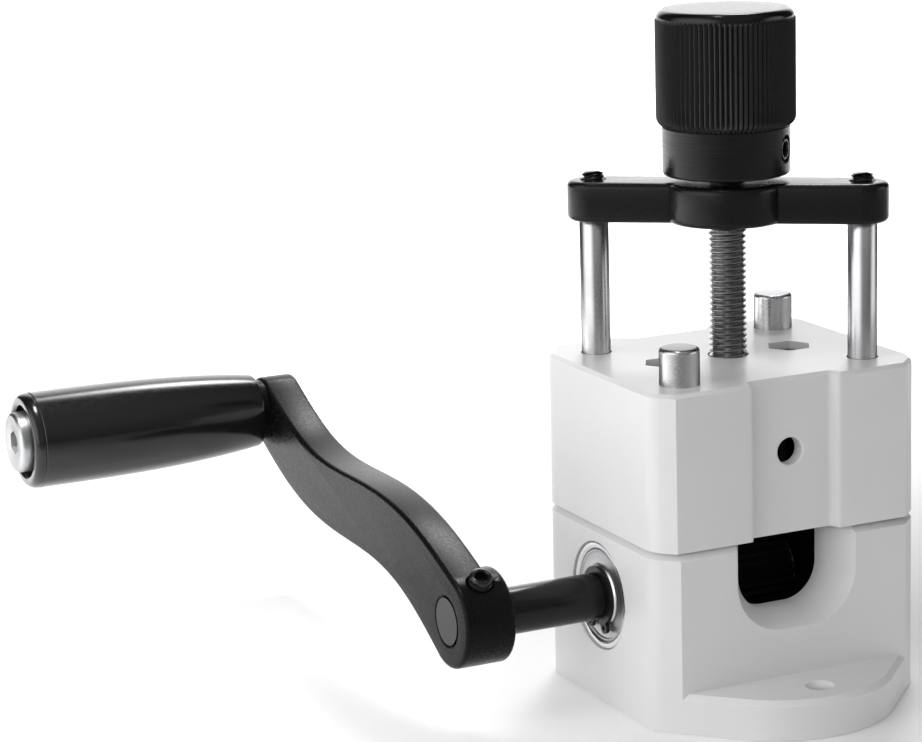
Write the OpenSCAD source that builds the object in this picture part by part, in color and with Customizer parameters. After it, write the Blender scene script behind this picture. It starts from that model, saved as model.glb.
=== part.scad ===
// Hand-cranked wire stripping machine.
// Origin: centre of the base's underside. +Z up, X along the crank shaft
// with the crank on the -X side, the wire goes in at +Y and comes out at -Y.
// The upper block is drawn fully down, with the knob's collar just above the yoke.

/* [Block] */
// Width of both blocks, side to side
block_w = 77; // [74:1:90]
// Depth of both blocks, front face to back face
block_d = 66; // [64:1:76]
// Height of the base block
base_h = 45.5; // [38:0.5:56]
// Gap between the blocks with the upper one fully down
split_gap = 0.6; // [0.4:0.1:1.5]
// Size of the cuts at the corners, along the side and along the face
corner_cut = 6.5; // [4:0.5:8]
// Radius of the nose between the two corner cuts
nose_r = 29; // [22:1:32]
// Radius between a side and a corner cut
corner_r = 8; // [4:1:10]
// Thickness of the foot
foot_h = 10; // [7:0.5:14]
// Chamfer round the foot
foot_chamfer = 1.3; // [0.5:0.1:2]
// Chamfer round the top of each block
edge_chamfer = 1.2; // [0.4:0.1:2]
// Diameter of the two fixing holes in the foot
foot_hole_d = 6.6; // [4:0.1:9]
// Distance of each fixing hole from the tip of the foot
foot_hole_inset = 9.7; // [8:0.1:11]

/* [Channels in the upper block] */
// Width of the channel in the front and back face
channel_w = 24; // [16:1:30]
// Depth of the channel
channel_depth = 3; // [2:0.1:5]
// Radius in the channel's inner corners
channel_fillet = 1.5; // [0.5:0.1:2]
// Radius on the channel's outer corners
channel_round = 1.2; // [0.4:0.1:2]
// Diameter of the sight hole in the front channel
sight_d = 7; // [4:0.5:10]
// Height of the sight hole above the upper block's underside
sight_up = 20.7; // [14:0.1:22]

/* [Wire passage] */
// Width of the passage through the front and back wall
mouth_w = 25.4; // [20:0.2:27]
// Depth of the passage's floor below the base's top
mouth_depth = 20; // [14:0.5:23]
// Radius of the passage's lower corners
mouth_corner_r = 9.4; // [3:0.2:9.8]
// How much the funnel widens on each side
flare = 4.4; // [1:0.1:5]
// How much the funnel drops at its outer edge
flare_drop = 3.3; // [1:0.1:5]
// Depth of the funnel
flare_depth = 7.3; // [2:0.1:8]
// Clearance round the roller inside its chamber
chamber_gap = 1.8; // [1:0.1:3]
// Clearance beside the roller inside its chamber
chamber_side_gap = 3; // [1:0.5:5]

/* [Drive] */
// Depth of the drive shaft below the base's top
shaft_drop = 17.8; // [15:0.1:21]
// Diameter of the drive shaft
shaft_d = 12; // [10:0.5:14]
// Distance from the block's side to the crank's outer face
shaft_reach = 42.6; // [34:0.1:60]
// Length of shaft past the block on the side without the crank
shaft_tail = 2.6; // [2:0.1:6]
// Outside diameter of a shaft bearing
bearing_od = 28; // [24:0.5:32]
// Width of a shaft bearing
bearing_w = 8; // [7:0.5:10]
// Depth of a bearing's face below the block's side
bearing_recess = 0.4; // [0.1:0.1:1.5]
// Number of balls in a bearing
ball_count = 8; // [5:1:9]
// Wall of the spacer sleeves
spacer_wall = 2; // [1:0.5:3]
// Diameter of the feed roller
roller_d = 28; // [24:0.5:32]
// Width of the feed roller
roller_w = 22; // [14:1:26]
// Number of grooves round the feed roller
roller_teeth = 40; // [20:2:60]
// Depth of the feed roller's grooves
roller_tooth_depth = 0.7; // [0.3:0.1:1.2]
// Width and height of the roller's key
key_size = 4; // [3:0.5:5]

/* [Guides] */
// Distance of the long posts' axes from the block's side
post_side = 11.5; // [9.5:0.1:14]
// Wall between the posts and the bearings, seen from the side
post_wall = 2.9; // [1:0.1:5]
// Diameter of the long posts
post_d = 7.4; // [6.4:0.1:9]
// Distance of the short pins' axes from the block's side
pin_side = 11.8; // [9.5:0.1:14]
// Wall between the pins and the bearings, seen from the side
pin_wall = 3.3; // [1:0.1:4]
// Diameter of the short pins
pin_d = 10; // [8:0.1:12]
// Height at which the posts and pins are seated in the base
guide_seat = 12; // [10:0.5:16]
// Height of the pins above the lowered upper block
pin_show = 9.2; // [4:0.1:14]
// Rounding of the pins' upper ends
pin_round = 1; // [0.3:0.1:2]
// Diameter of the screws that hold the posts and pins
foot_screw_d = 5; // [4:0.5:6]

/* [Yoke] */
// Free height between the lowered upper block and the yoke
yoke_gap = 34.6; // [30:0.1:45]
// Thickness of the yoke
yoke_h = 10.2; // [9:0.5:16]
// Width of the yoke's arms
yoke_w = 13.2; // [12:0.5:18]
// Diameter of the yoke's round middle
yoke_boss_d = 30.4; // [20:0.1:36]
// Height of the stud ends above the yoke
stud_show = 1.9; // [1:0.1:4]
// Diameter of the studs and of the set screws
stud_d = 6; // [5:0.5:7]

/* [Lift screw and knob] */
// Outside diameter of the lift screw's thread
screw_d = 9.7; // [8:0.1:12]
// Pitch of the thread
pitch = 1.5; // [1:0.25:2]
// Diameter of the knurled grip of the knob
knob_d = 35; // [30:0.5:45]
// Height of the knurled grip
knob_h = 29.6; // [20:0.1:40]
// Diameter of the knob's collar
collar_d = 32; // [24:0.5:38]
// Height of the knob's collar
collar_h = 11.9; // [10:0.1:20]
// Height of the collar above the yoke with the upper block down
knob_rest_gap = 1.8; // [0.3:0.1:4]
// Number of flutes round the knob
knob_flutes = 84; // [40:2:96]
// Depth of the flutes
flute_depth = 0.5; // [0.2:0.1:1]
// Direction in which the knob's set screw faces
knob_screw_turn = -51; // [-180:1:180]

/* [Crank] */
// Distance from the shaft to the handle
crank_len = 125; // [90:1:160]
// Angle at which the crank stands above the level
crank_angle = 13.4; // [-30:0.1:90]
// Thickness of the crank arm
arm_t = 10; // [8:0.5:12]
// Sideways swing of the arm's S bend
arm_sway = 4.7; // [0:0.1:8]
// Diameter of the arm's round end under the handle
arm_tip_d = 18; // [16:0.1:22]
// Diameter of the crank's hub
hub_d = 24; // [20:0.1:28]
// Length of the crank's hub
hub_w = 13.7; // [12.2:0.1:20]
// Height of the boss under the handle
tip_boss_h = 2; // [1:0.5:4]
// Angle between the arm and the hub's set screw
hub_screw_turn = 105; // [80:1:140]
// Height of the set screw above the hub
hub_screw_show = 2.4; // [0.5:0.1:4]

/* [Handle] */
// Length of the handle grip
grip_len = 67.5; // [50:0.5:100]
// Diameter of the grip beside the arm
grip_near_d = 20.5; // [19:0.5:26]
// Diameter of the grip at its outer end
grip_far_d = 26.4; // [22:0.1:32]
// Diameter of the handle bolt
bolt_d = 8; // [6:0.5:9]
// Diameter of the bolt's head
bolt_head_d = 16.5; // [14:0.5:19]
// Height of the bolt's head
bolt_head_h = 5.6; // [4:0.1:7]

/* [Blade carrier] */
// Thickness of the upper block's top wall
top_wall = 10; // [8.5:0.5:12]
// Thickness of the upper block's wall behind a channel
face_wall = 3.7; // [2.5:0.1:5]
// Thickness of the blade bracket's plate
plate_t = 4; // [3:0.1:6]
// Size of the bracket's nuts across the flats
nut_af = 10; // [8:0.5:12]
// Depth of the nut pockets
nut_pocket = 7; // [5.5:0.1:8]
// Diameter of the blade wheel
blade_d = 25; // [21:0.5:30]
// Thickness of the blade wheel
blade_t = 1.6; // [1:0.1:2.5]
// Gap between the lowered blade and the roller
blade_gap = 0.3; // [0.3:0.1:0.6]
// Room between the blade and the end of the lift screw
blade_room = 1.7; // [1:0.1:6]
// Diameter of the blade's axle
axle_d = 6; // [5:0.5:7]

/* [Hidden] */
$fn = 64;

// Fits and small clearances
over = 1;            // overrun of a cut past the face it opens
skin = 0.01;         // thickness of the slabs that shape a chamfer or flare
seat_gap = 0.03;     // radial gap of a piece fixed in its seat
run_gap = 0.06;      // radial gap of a running or sliding fit
side_gap = 0.1;      // gap beside a turning shoulder
post_gap = 0.25;     // gap round a long post in the upper block
screw_gap = 0.4;     // gap round the lift screw in the upper block
arc_steps = 8;       // pieces in a quarter of an outline's arc

// Parts of the lift screw's lower end and of the blade's axle
shaft_z = base_h - shaft_drop;
washer_t = 1;
clip_t = 1;
journal_land = 1;
axle_z = shaft_z + roller_d / 2 + blade_gap + blade_d / 2;
journal_end = axle_z + blade_d / 2 + blade_room;

// Heights of the stack: the upper block's height follows from what hangs in it
plate_z = journal_end + journal_land + clip_t + side_gap + washer_t;
plate_top = plate_z + plate_t;
carriage_z = base_h + split_gap;
carriage_top = plate_top + top_wall;
carriage_h = carriage_top - carriage_z;
yoke_z = carriage_top + yoke_gap;
yoke_top = yoke_z + yoke_h;
collar_z = yoke_top + knob_rest_gap;
knurl_z = collar_z + collar_h;
knob_top = knurl_z + knob_h;

// Plan of the block
side_x = block_w / 2;
face_y = block_d / 2;
nose_reach = side_x + face_y - corner_cut;
corner_x = side_x - corner_r;
corner_y = nose_reach - corner_r * sqrt(2) - corner_x;
nose_y = nose_reach - nose_r * sqrt(2);
face_x = nose_reach - face_y;
foot_hole_y = nose_y + nose_r - foot_hole_inset;
inner_fillet = min(channel_fillet, channel_depth / 2);
outer_round = min(channel_round, channel_depth * 0.4);

// Wire passage and roller chamber
chamber_y = roller_d / 2 + chamber_gap;
chamber_x = roller_w / 2 + chamber_side_gap;
mouth_floor = base_h - mouth_depth;
chamber_floor = shaft_z - roller_d / 2 - chamber_gap;
mouth_half = mouth_w / 2;

// Drive line along X
bearing_face = side_x - bearing_recess;
bearing_back = bearing_face - bearing_w;
bearing_ir = shaft_d / 2 + seat_gap;
ball_share = 0.6;
ball_d = ball_share * min((bearing_od - shaft_d) / 2, bearing_w);
ball_r = ball_d / 2;
ball_gap = 0.05;
ball_orbit = (bearing_od / 2 + shaft_d / 2) / 2;
race_land = 0.35;
outer_land_r = ball_orbit + ball_r - race_land;
inner_land_r = ball_orbit - ball_r + race_land;
shield_t = 0.4;
shield_inset = 0.3;
cage_w = ball_d - shield_t;
cage_t = 1;
spacer_od = shaft_d + 2 * spacer_wall;
spacer_gap = 1;
shaft_hole_d = spacer_od + 2 * spacer_gap;
clip_groove = 0.4;
clip_band = 2;
clip_ear_r = 1.5;
clip_hole_r = 0.7;
clip_opening = 26;
crank_face = -side_x - shaft_reach;
shaft_end = side_x + shaft_tail;
key_len = roller_w - 2 * key_size;

// Guides
post_x = side_x - post_side;
post_y = bearing_od / 2 + post_wall + post_d / 2;
post_angle = atan2(-post_y, post_x);
post_radius = norm([post_x, post_y]);
pin_x = side_x - pin_side;
pin_y = bearing_od / 2 + pin_wall + pin_d / 2;
pin_top = carriage_top + pin_show;
post_socket = 5;
post_top = yoke_z + post_socket;
foot_screw_head_d = foot_screw_d * 1.7;
foot_screw_head_h = foot_screw_d;
foot_screw_bite = 2 * foot_screw_d;
head_gap = 0.4;
stud_bite = 10;
socket_share = 0.5;

// Lift screw
thread_depth = 0.61 * pitch;
journal_d = screw_d * 0.72;
thread_z = plate_top + over;
thread_turns = floor((collar_z - thread_z) / pitch);
screw_top = collar_z + collar_h + knob_h / 2;
washer_d = 2 * journal_d;

// Knob
knob_round = 1.8;
knob_cap_h = knob_round + flute_depth;
knob_screw_z = collar_z + collar_h * 0.56;
set_screw_d = stud_d;

// Crank, in the crank's own plan: u along the arm, v across it
hub_r = hub_d / 2;
tip_r = arm_tip_d / 2;
arm_shoulder = 0.35;
arm_face = crank_face + arm_t;
hub_face = crank_face + hub_w;
arm_steps = 28;
handle_y = crank_len * cos(crank_angle);
handle_z = shaft_z + crank_len * sin(crank_angle);

// Handle
grip_x = crank_face - tip_boss_h - 2 * side_gap;
grip_end = grip_x - grip_len;
grip_near_round = 0.8;
grip_rim = 0.4;
grip_recess = 3;
grip_recess_gap = 1.5;
grip_recess_r = bolt_head_d / 2 + grip_recess_gap;
grip_far_round = min(grip_recess, grip_far_d / 2 - grip_recess_r - grip_rim);
grip_steps = 16;
bolt_socket_af = bolt_head_d * 0.36;

// Blade carrier
hub_wall = 3;
blade_core_r = axle_d / 2 + hub_wall;
hub_half = 9;
axle_land = 1.2;
cheek_x = hub_half + side_gap;
cheek_t = 3;
cheek_r = 8;
bracket_bolt_d = 6;
bracket_head_d = bracket_bolt_d * 1.6;
bracket_head_h = 4;
bracket_gap = 1.1;
bracket_bolt_x = cheek_x + cheek_t + bracket_gap + bracket_head_d / 2;
plate_land = 1.2;
plate_x = bracket_bolt_x + bracket_head_d / 2 + plate_land;
plate_y = 10;
cavity_gap = 4.6;
cavity_x = cheek_x + cheek_t + side_gap + clip_t + axle_land + cavity_gap;
cavity_y = face_y - channel_depth - face_wall;
side_pocket_x = plate_x + bracket_gap;
side_pocket_y = plate_y + plate_land + 2 * bracket_gap;
nut_h = 5;
nut_gap = 0.15;
blade_bevel = 2.5;
blade_edge_t = 0.2;
clamp_t = 1.5;
clamp_wall = 2.5;
blade_flange_r = blade_core_r + clamp_wall;

// Points of an arc, counted in pieces of a quarter turn
function arc(cx, cy, r, a, b) =
    let (n = max(1, ceil(arc_steps * abs(b - a) / 90)))
    [for (i = [0:n]) let (t = a + (b - a) * i / n) [cx + r * cos(t), cy + r * sin(t)]];

// Outline of the foot: straight sides, corner cuts and round noses
function foot_points() = concat(
    arc(corner_x, corner_y, corner_r, 0, 45),
    arc(0, nose_y, nose_r, 45, 135),
    arc(-corner_x, corner_y, corner_r, 135, 180),
    arc(-corner_x, -corner_y, corner_r, 180, 225),
    arc(0, -nose_y, nose_r, 225, 315),
    arc(corner_x, -corner_y, corner_r, 315, 360));

// Outline of the blocks: the foot's outline cut off by the front and back face
function block_points() = concat(
    arc(corner_x, corner_y, corner_r, 0, 45),
    [[face_x, face_y], [-face_x, face_y]],
    arc(-corner_x, corner_y, corner_r, 135, 180),
    arc(-corner_x, -corner_y, corner_r, 180, 225),
    [[-face_x, -face_y], [face_x, -face_y]],
    arc(corner_x, -corner_y, corner_r, 315, 360));

// Half width and middle line of the crank arm at a share t of its length
function arm_half(t) = tip_r - arm_shoulder + (hub_r - tip_r) * pow(1 - t, 3);
function arm_mid(t) = arm_sway * sin(360 * t);
function arm_slope(t) = atan(arm_sway * 2 * PI * cos(360 * t) / crank_len);

// One edge of the crank arm, on side s, from the hub to the handle
function arm_edge(s) = [for (i = [0:arm_steps]) let (t = i / arm_steps)
    [crank_len * t - s * arm_half(t) * sin(arm_slope(t)),
        arm_mid(t) + s * arm_half(t) * cos(arm_slope(t))]];

// Radius of the grip at a share t of its length from the arm
function grip_r(t) = grip_near_d / 2 + (grip_far_d - grip_near_d) / 2 * (1 - pow(1 - t, 3));

// A ring of alternating outer and inner points
function flutes(count, r, depth) = [for (i = [0:2 * count - 1])
    let (a = 180 * i / count, q = i % 2 == 0 ? r : r - depth) [q * cos(a), q * sin(a)]];

module along_x() {
    rotate([0, 90, 0])
        children();
}

// A cylinder along X, from x0 to x1
module bar_x(r, x0, x1) {
    translate([x0, 0, 0])
        rotate([0, 90, 0])
            cylinder(r = r, h = x1 - x0);
}

// A tube along X, from x0 to x1
module tube_x(r_out, r_in, x0, x1) {
    difference() {
        bar_x(r_out, x0, x1);
        bar_x(r_in, x0 - over, x1 + over);
    }
}

module on_shaft() {
    translate([0, 0, shaft_z])
        children();
}

module on_crank() {
    on_shaft()
        rotate([crank_angle, 0, 0])
            children();
}

module on_handle() {
    translate([0, handle_y, handle_z])
        children();
}

module on_axle() {
    translate([0, 0, axle_z])
        children();
}

module at_posts() {
    for (s = [-1, 1])
        translate([s * post_x, -s * post_y, 0])
            children();
}

module at_pins() {
    for (s = [-1, 1])
        translate([s * pin_x, s * pin_y, 0])
            children();
}

module at_guides() {
    at_posts()
        children();
    at_pins()
        children();
}

// A prism of the given outline with a chamfer round its top
module chamfered(points, h, c) {
    hull() {
        linear_extrude(h - c)
            polygon(points);
        translate([0, 0, h - skin])
            linear_extrude(skin)
                offset(delta = -c)
                    polygon(points);
    }
}

// Outline of the wire passage in width and height, widened and dropped
module mouth_shape(wider, drop) {
    r = mouth_corner_r + (wider + drop) / 2;
    half = mouth_half + wider;
    low = mouth_floor - drop;
    rim = base_h - edge_chamfer;
    lead = edge_chamfer + over;
    polygon(concat(
        arc(half - r, low + r, r, -90, 0),
        [[half, rim], [half + lead, rim + lead], [-half - lead, rim + lead], [-half, rim]],
        arc(-half + r, low + r, r, -180, -90)));
}

// The wire passage of the front wall, with its funnel
module mouth_cut() {
    translate([0, -chamber_y + over, 0])
        rotate([90, 0, 0])
            linear_extrude(face_y - chamber_y)
                mouth_shape(0, 0);
    hull() {
        translate([0, -face_y + flare_depth, 0])
            rotate([90, 0, 0])
                linear_extrude(skin)
                    mouth_shape(0, 0);
        translate([0, -face_y, 0])
            rotate([90, 0, 0])
                linear_extrude(skin)
                    mouth_shape(flare, flare_drop);
    }
}

// The channel of the front face, as it is cut out
module channel_shape() {
    half = channel_w / 2;
    back = -face_y + channel_depth;
    polygon(concat(
        [[-half - outer_round, -face_y - over]],
        arc(-half - outer_round, -face_y + outer_round, outer_round, -90, 0),
        arc(-half + inner_fillet, back - inner_fillet, inner_fillet, 180, 90),
        arc(half - inner_fillet, back - inner_fillet, inner_fillet, 90, 0),
        arc(half + outer_round, -face_y + outer_round, outer_round, 180, 270),
        [[half + outer_round, -face_y - over]]));
}

// The slope that carries the top chamfer into the channel
module channel_chamfer_cut() {
    half = channel_w / 2;
    back = -face_y + channel_depth;
    translate([-half, back, carriage_top])
        rotate([90, 0, 90])
            linear_extrude(channel_w)
                polygon([[-over, -edge_chamfer - over], [0, -edge_chamfer],
                    [edge_chamfer, 0], [edge_chamfer + over, over], [-over, over]]);
}

// A headless screw along -Z, its socketed end at the origin
module socket_screw(d, len) {
    socket = d * socket_share;
    difference() {
        translate([0, 0, -len])
            cylinder(d = d, h = len);
        translate([0, 0, -socket])
            cylinder(d = socket / cos(30), h = socket + over, $fn = 6);
    }
}

// A cap screw along +Z, the underside of its head at the origin
module cap_screw(d, len, head_d, head_h) {
    socket = d * socket_share;
    difference() {
        union() {
            cylinder(d = d, h = len);
            translate([0, 0, -head_h])
                cylinder(d = head_d, h = head_h);
        }
        translate([0, 0, -head_h - over])
            cylinder(d = socket * 2 / cos(30) * 0.9, h = head_h / 2 + over, $fn = 6);
    }
}

// A flat spring clip in a shaft's groove, with its opening downwards
module circlip_shape(d) {
    inner = d / 2 - clip_groove + seat_gap;
    outer = inner + clip_band;
    ear = outer + clip_ear_r / 2;
    difference() {
        union() {
            circle(r = outer);
            for (s = [-1, 1])
                rotate(-90 + s * clip_opening)
                    translate([ear, 0])
                        circle(r = clip_ear_r);
        }
        circle(r = inner);
        polygon([[0, 0], 2 * outer * [-sin(clip_opening / 2), -cos(clip_opening / 2)],
            2 * outer * [sin(clip_opening / 2), -cos(clip_opening / 2)]]);
        for (s = [-1, 1])
            rotate(-90 + s * clip_opening)
                translate([ear, 0])
                    circle(r = clip_hole_r);
    }
}

// The clip standing on a shaft along X, from x on towards +X
module circlip_x(d, x) {
    translate([x, 0, 0])
        rotate([90, 0, 90])
            linear_extrude(clip_t)
                circlip_shape(d);
}

module base_block() {
    color("gainsboro")
    difference() {
        union() {
            chamfered(foot_points(), foot_h, foot_chamfer);
            chamfered(block_points(), base_h, edge_chamfer);
        }
        for (turn = [0, 180])
            rotate(turn)
                mouth_cut();
        translate([-chamber_x, -chamber_y, chamber_floor])
            cube([2 * chamber_x, 2 * chamber_y, base_h]);
        on_shaft() {
            bar_x(shaft_hole_d / 2, -side_x - over, side_x + over);
            for (turn = [0, 180])
                rotate(turn)
                    bar_x(bearing_od / 2 + seat_gap, bearing_back, side_x + over);
        }
        at_posts()
            translate([0, 0, guide_seat])
                cylinder(d = post_d + 2 * seat_gap, h = base_h);
        at_pins()
            translate([0, 0, guide_seat])
                cylinder(d = pin_d + 2 * seat_gap, h = base_h);
        at_guides()
            translate([0, 0, -over]) {
                cylinder(d = foot_screw_d + 2 * head_gap, h = guide_seat + 2 * over);
                cylinder(d = foot_screw_head_d + 2 * head_gap, h = foot_screw_head_h + head_gap + over);
            }
        for (s = [-1, 1])
            translate([0, s * foot_hole_y, -over])
                cylinder(d = foot_hole_d, h = foot_h + 2 * over);
    }
}

module foot_screws() {
    color("dimgray")
    at_guides()
        translate([0, 0, foot_screw_head_h + head_gap])
            cap_screw(foot_screw_d, guide_seat + foot_screw_bite - foot_screw_head_h - 2 * head_gap,
                foot_screw_head_d, foot_screw_head_h);
}

module guide_posts() {
    color("silver")
    at_posts()
        difference() {
            translate([0, 0, guide_seat])
                cylinder(d = post_d, h = post_top - guide_seat);
            translate([0, 0, guide_seat - over])
                cylinder(d = foot_screw_d + 2 * seat_gap, h = foot_screw_bite + over);
            translate([0, 0, post_top - stud_bite])
                cylinder(d = stud_d + 2 * seat_gap, h = stud_bite + over);
        }
}

module guide_pins() {
    color("silver")
    at_pins()
        difference() {
            rotate_extrude()
                polygon(concat([[0, guide_seat], [pin_d / 2, guide_seat]],
                    arc(pin_d / 2 - pin_round, pin_top - pin_round, pin_round, 0, 90),
                    [[0, pin_top]]));
            translate([0, 0, guide_seat - over])
                cylinder(d = foot_screw_d + 2 * seat_gap, h = foot_screw_bite + over);
        }
}

module yoke() {
    color("#222222")
    difference() {
        translate([0, 0, yoke_z])
            linear_extrude(yoke_h) {
                rotate(post_angle)
                    square([2 * post_radius, yoke_w], center = true);
                for (s = [-1, 1])
                    translate([s * post_x, -s * post_y])
                        circle(d = yoke_w);
                circle(d = yoke_boss_d);
            }
        translate([0, 0, yoke_z - over])
            cylinder(d = screw_d + 2 * run_gap, h = yoke_h + 2 * over);
        at_posts() {
            translate([0, 0, yoke_z - over])
                cylinder(d = post_d + 2 * seat_gap, h = post_socket + over);
            translate([0, 0, yoke_z])
                cylinder(d = stud_d + 2 * seat_gap, h = yoke_h + over);
        }
    }
}

module yoke_studs() {
    color("#1a1a1a")
    at_posts()
        translate([0, 0, yoke_top + stud_show])
            socket_screw(stud_d, stud_show + yoke_top - post_top + stud_bite - head_gap);
}

// Sections of the bearing's rings, radius across and width up
module bearing_outer_ring() {
    color("lightgray")
    on_shaft()
        translate([bearing_back, 0, 0])
            along_x()
                rotate_extrude()
                    difference() {
                        translate([outer_land_r, 0])
                            square([bearing_od / 2 - outer_land_r, bearing_w]);
                        translate([ball_orbit, bearing_w / 2])
                            circle(r = ball_r + ball_gap);
                    }
}

module bearing_inner_ring() {
    color("lightgray")
    on_shaft()
        translate([bearing_back, 0, 0])
            along_x()
                rotate_extrude()
                    difference() {
                        translate([bearing_ir, 0])
                            square([inner_land_r - bearing_ir, bearing_w]);
                        translate([ball_orbit, bearing_w / 2])
                            circle(r = ball_r + ball_gap);
                    }
}

module at_balls() {
    on_shaft()
        for (i = [0:ball_count - 1])
            rotate([360 * i / ball_count, 0, 0])
                translate([bearing_back + bearing_w / 2, 0, ball_orbit])
                    children();
}

module bearing_balls() {
    color("white")
    at_balls()
        sphere(r = ball_r);
}

module bearing_cage() {
    middle = bearing_back + bearing_w / 2;
    color("peru")
    difference() {
        on_shaft()
            tube_x(ball_orbit + cage_t / 2, ball_orbit - cage_t / 2, middle - cage_w / 2 - cage_t / 2,
                middle + cage_w / 2 + cage_t / 2);
        at_balls()
            sphere(r = ball_r + ball_gap);
    }
}

module bearing_shields() {
    color("gray")
    on_shaft()
        for (x = [bearing_back + shield_inset, bearing_face - shield_inset - shield_t])
            tube_x(outer_land_r - seat_gap, inner_land_r + ball_gap * 2, x, x + shield_t);
}

module left() {
    mirror([1, 0, 0])
        children();
}

module drive_shaft() {
    color("#202020")
    on_shaft()
        difference() {
            bar_x(shaft_d / 2, crank_face, shaft_end);
            for (s = [-1, 1])
                translate([s * (bearing_face + side_gap + clip_t / 2), 0, 0])
                    tube_x(shaft_d, shaft_d / 2 - clip_groove, -clip_t / 2 - seat_gap, clip_t / 2 + seat_gap);
            translate([-key_len / 2, -key_size / 2, shaft_d / 2 - key_size / 2])
                cube([key_len, key_size, key_size]);
        }
}

module shaft_circlips() {
    color("#303030")
    on_shaft()
        for (x = [-bearing_face - side_gap - clip_t, bearing_face + side_gap])
            circlip_x(shaft_d, x);
}

module shaft_spacers() {
    color("silver")
    on_shaft()
        for (turn = [0, 180])
            rotate(turn)
                tube_x(spacer_od / 2, shaft_d / 2 + seat_gap, roller_w / 2, bearing_back);
}

module feed_roller() {
    color("#3a3a3a")
    on_shaft()
        difference() {
            translate([-roller_w / 2, 0, 0])
                along_x()
                    linear_extrude(roller_w)
                        polygon(flutes(roller_teeth, roller_d / 2, roller_tooth_depth));
            bar_x(shaft_d / 2 + seat_gap, -roller_w, roller_w);
            translate([-roller_w, -key_size / 2 - seat_gap, 0])
                cube([2 * roller_w, key_size + 2 * seat_gap, shaft_d / 2 + key_size / 2 + seat_gap]);
        }
}

module roller_key() {
    color("dimgray")
    on_shaft()
        translate([-key_len / 2 + seat_gap, -key_size / 2 + seat_gap, shaft_d / 2 - key_size / 2 + seat_gap])
            cube([key_len - 2 * seat_gap, key_size - 2 * seat_gap, key_size - 2 * seat_gap]);
}

module crank_arm() {
    color("#1c1c1c")
    on_crank()
        difference() {
            union() {
                translate([crank_face, 0, 0])
                    rotate([90, 0, 90])
                        linear_extrude(arm_t)
                            polygon(concat(arm_edge(-1), [for (i = [0:arm_steps]) arm_edge(1)[arm_steps - i]]));
                bar_x(hub_r, crank_face, hub_face);
                translate([0, crank_len, 0])
                    bar_x(tip_r, crank_face - tip_boss_h, arm_face);
            }
            bar_x(shaft_d / 2 + seat_gap, crank_face - over, hub_face + over);
            translate([0, crank_len, 0])
                bar_x(bolt_d / 2 + seat_gap, crank_face - tip_boss_h - over, arm_face + over);
            translate([(crank_face + hub_face) / 2, 0, 0])
                rotate([hub_screw_turn - 90, 0, 0])
                    cylinder(d = set_screw_d + 2 * seat_gap, h = hub_d);
        }
}

module crank_set_screw() {
    color("#101010")
    on_crank()
        translate([(crank_face + hub_face) / 2, 0, 0])
            rotate([hub_screw_turn - 90, 0, 0])
                translate([0, 0, hub_r + hub_screw_show])
                    socket_screw(set_screw_d, hub_r + hub_screw_show - shaft_d / 2 - side_gap);
}

module handle_bolt() {
    head_x = grip_end + grip_recess;
    color("gainsboro")
    on_handle()
        difference() {
            union() {
                bar_x(bolt_d / 2, head_x - side_gap, arm_face);
                bar_x(bolt_head_d / 2, head_x - side_gap - bolt_head_h, head_x - side_gap);
            }
            translate([head_x - side_gap - bolt_head_h - over, 0, 0])
                along_x()
                    cylinder(d = bolt_socket_af / cos(30), h = bolt_head_h / 2 + over, $fn = 6);
        }
}

// Half section of the grip: x from the arm outwards, y the radius
module grip_section() {
    bore = bolt_d / 2 + run_gap;
    polygon(concat(
        [[bore, 0]],
        arc(grip_r(0) - grip_near_round, grip_near_round, grip_near_round, -90, 0),
        [for (i = [1:grip_steps - 1]) let (t = i / grip_steps)
            [grip_r(t), grip_near_round + (grip_len - grip_near_round - grip_far_round) * t]],
        arc(grip_r(1) - grip_far_round, grip_len - grip_far_round, grip_far_round, 0, 90),
        [[grip_recess_r, grip_len], [grip_recess_r, grip_len - grip_recess], [bore, grip_len - grip_recess]]));
}

module handle_grip() {
    color("#151515")
    on_handle()
        translate([grip_x, 0, 0])
            rotate([0, -90, 0])
                rotate_extrude()
                    grip_section();
}

module carriage_block() {
    color("gainsboro")
    difference() {
        translate([0, 0, carriage_z])
            chamfered(block_points(), carriage_h, edge_chamfer);
        for (turn = [0, 180])
            rotate(turn) {
                translate([0, 0, carriage_z - over])
                    linear_extrude(carriage_h + 2 * over)
                        channel_shape();
                channel_chamfer_cut();
            }
        translate([-cavity_x, -cavity_y, carriage_z - over])
            cube([2 * cavity_x, 2 * cavity_y, plate_top - carriage_z + over]);
        translate([-side_pocket_x, -side_pocket_y, carriage_z - over])
            cube([2 * side_pocket_x, 2 * side_pocket_y, plate_top - carriage_z + over]);
        translate([0, 0, plate_top - over])
            cylinder(d = screw_d + 2 * screw_gap, h = top_wall + 2 * over);
        translate([0, 0, carriage_z - over]) {
            at_posts()
                cylinder(d = post_d + 2 * post_gap, h = carriage_h + 2 * over);
            at_pins()
                cylinder(d = pin_d + 2 * run_gap, h = carriage_h + 2 * over);
        }
        for (s = [-1, 1])
            translate([s * bracket_bolt_x, 0, 0]) {
                translate([0, 0, plate_top - over])
                    cylinder(d = bracket_bolt_d + 2 * head_gap, h = top_wall);
                translate([0, 0, carriage_top - nut_pocket])
                    cylinder(d = (nut_af + 2 * nut_gap) / cos(30), h = nut_pocket + over, $fn = 6);
            }
        translate([0, -cavity_y + over, carriage_z + sight_up])
            rotate([90, 0, 0])
                cylinder(d = sight_d, h = face_y);
    }
}

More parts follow.
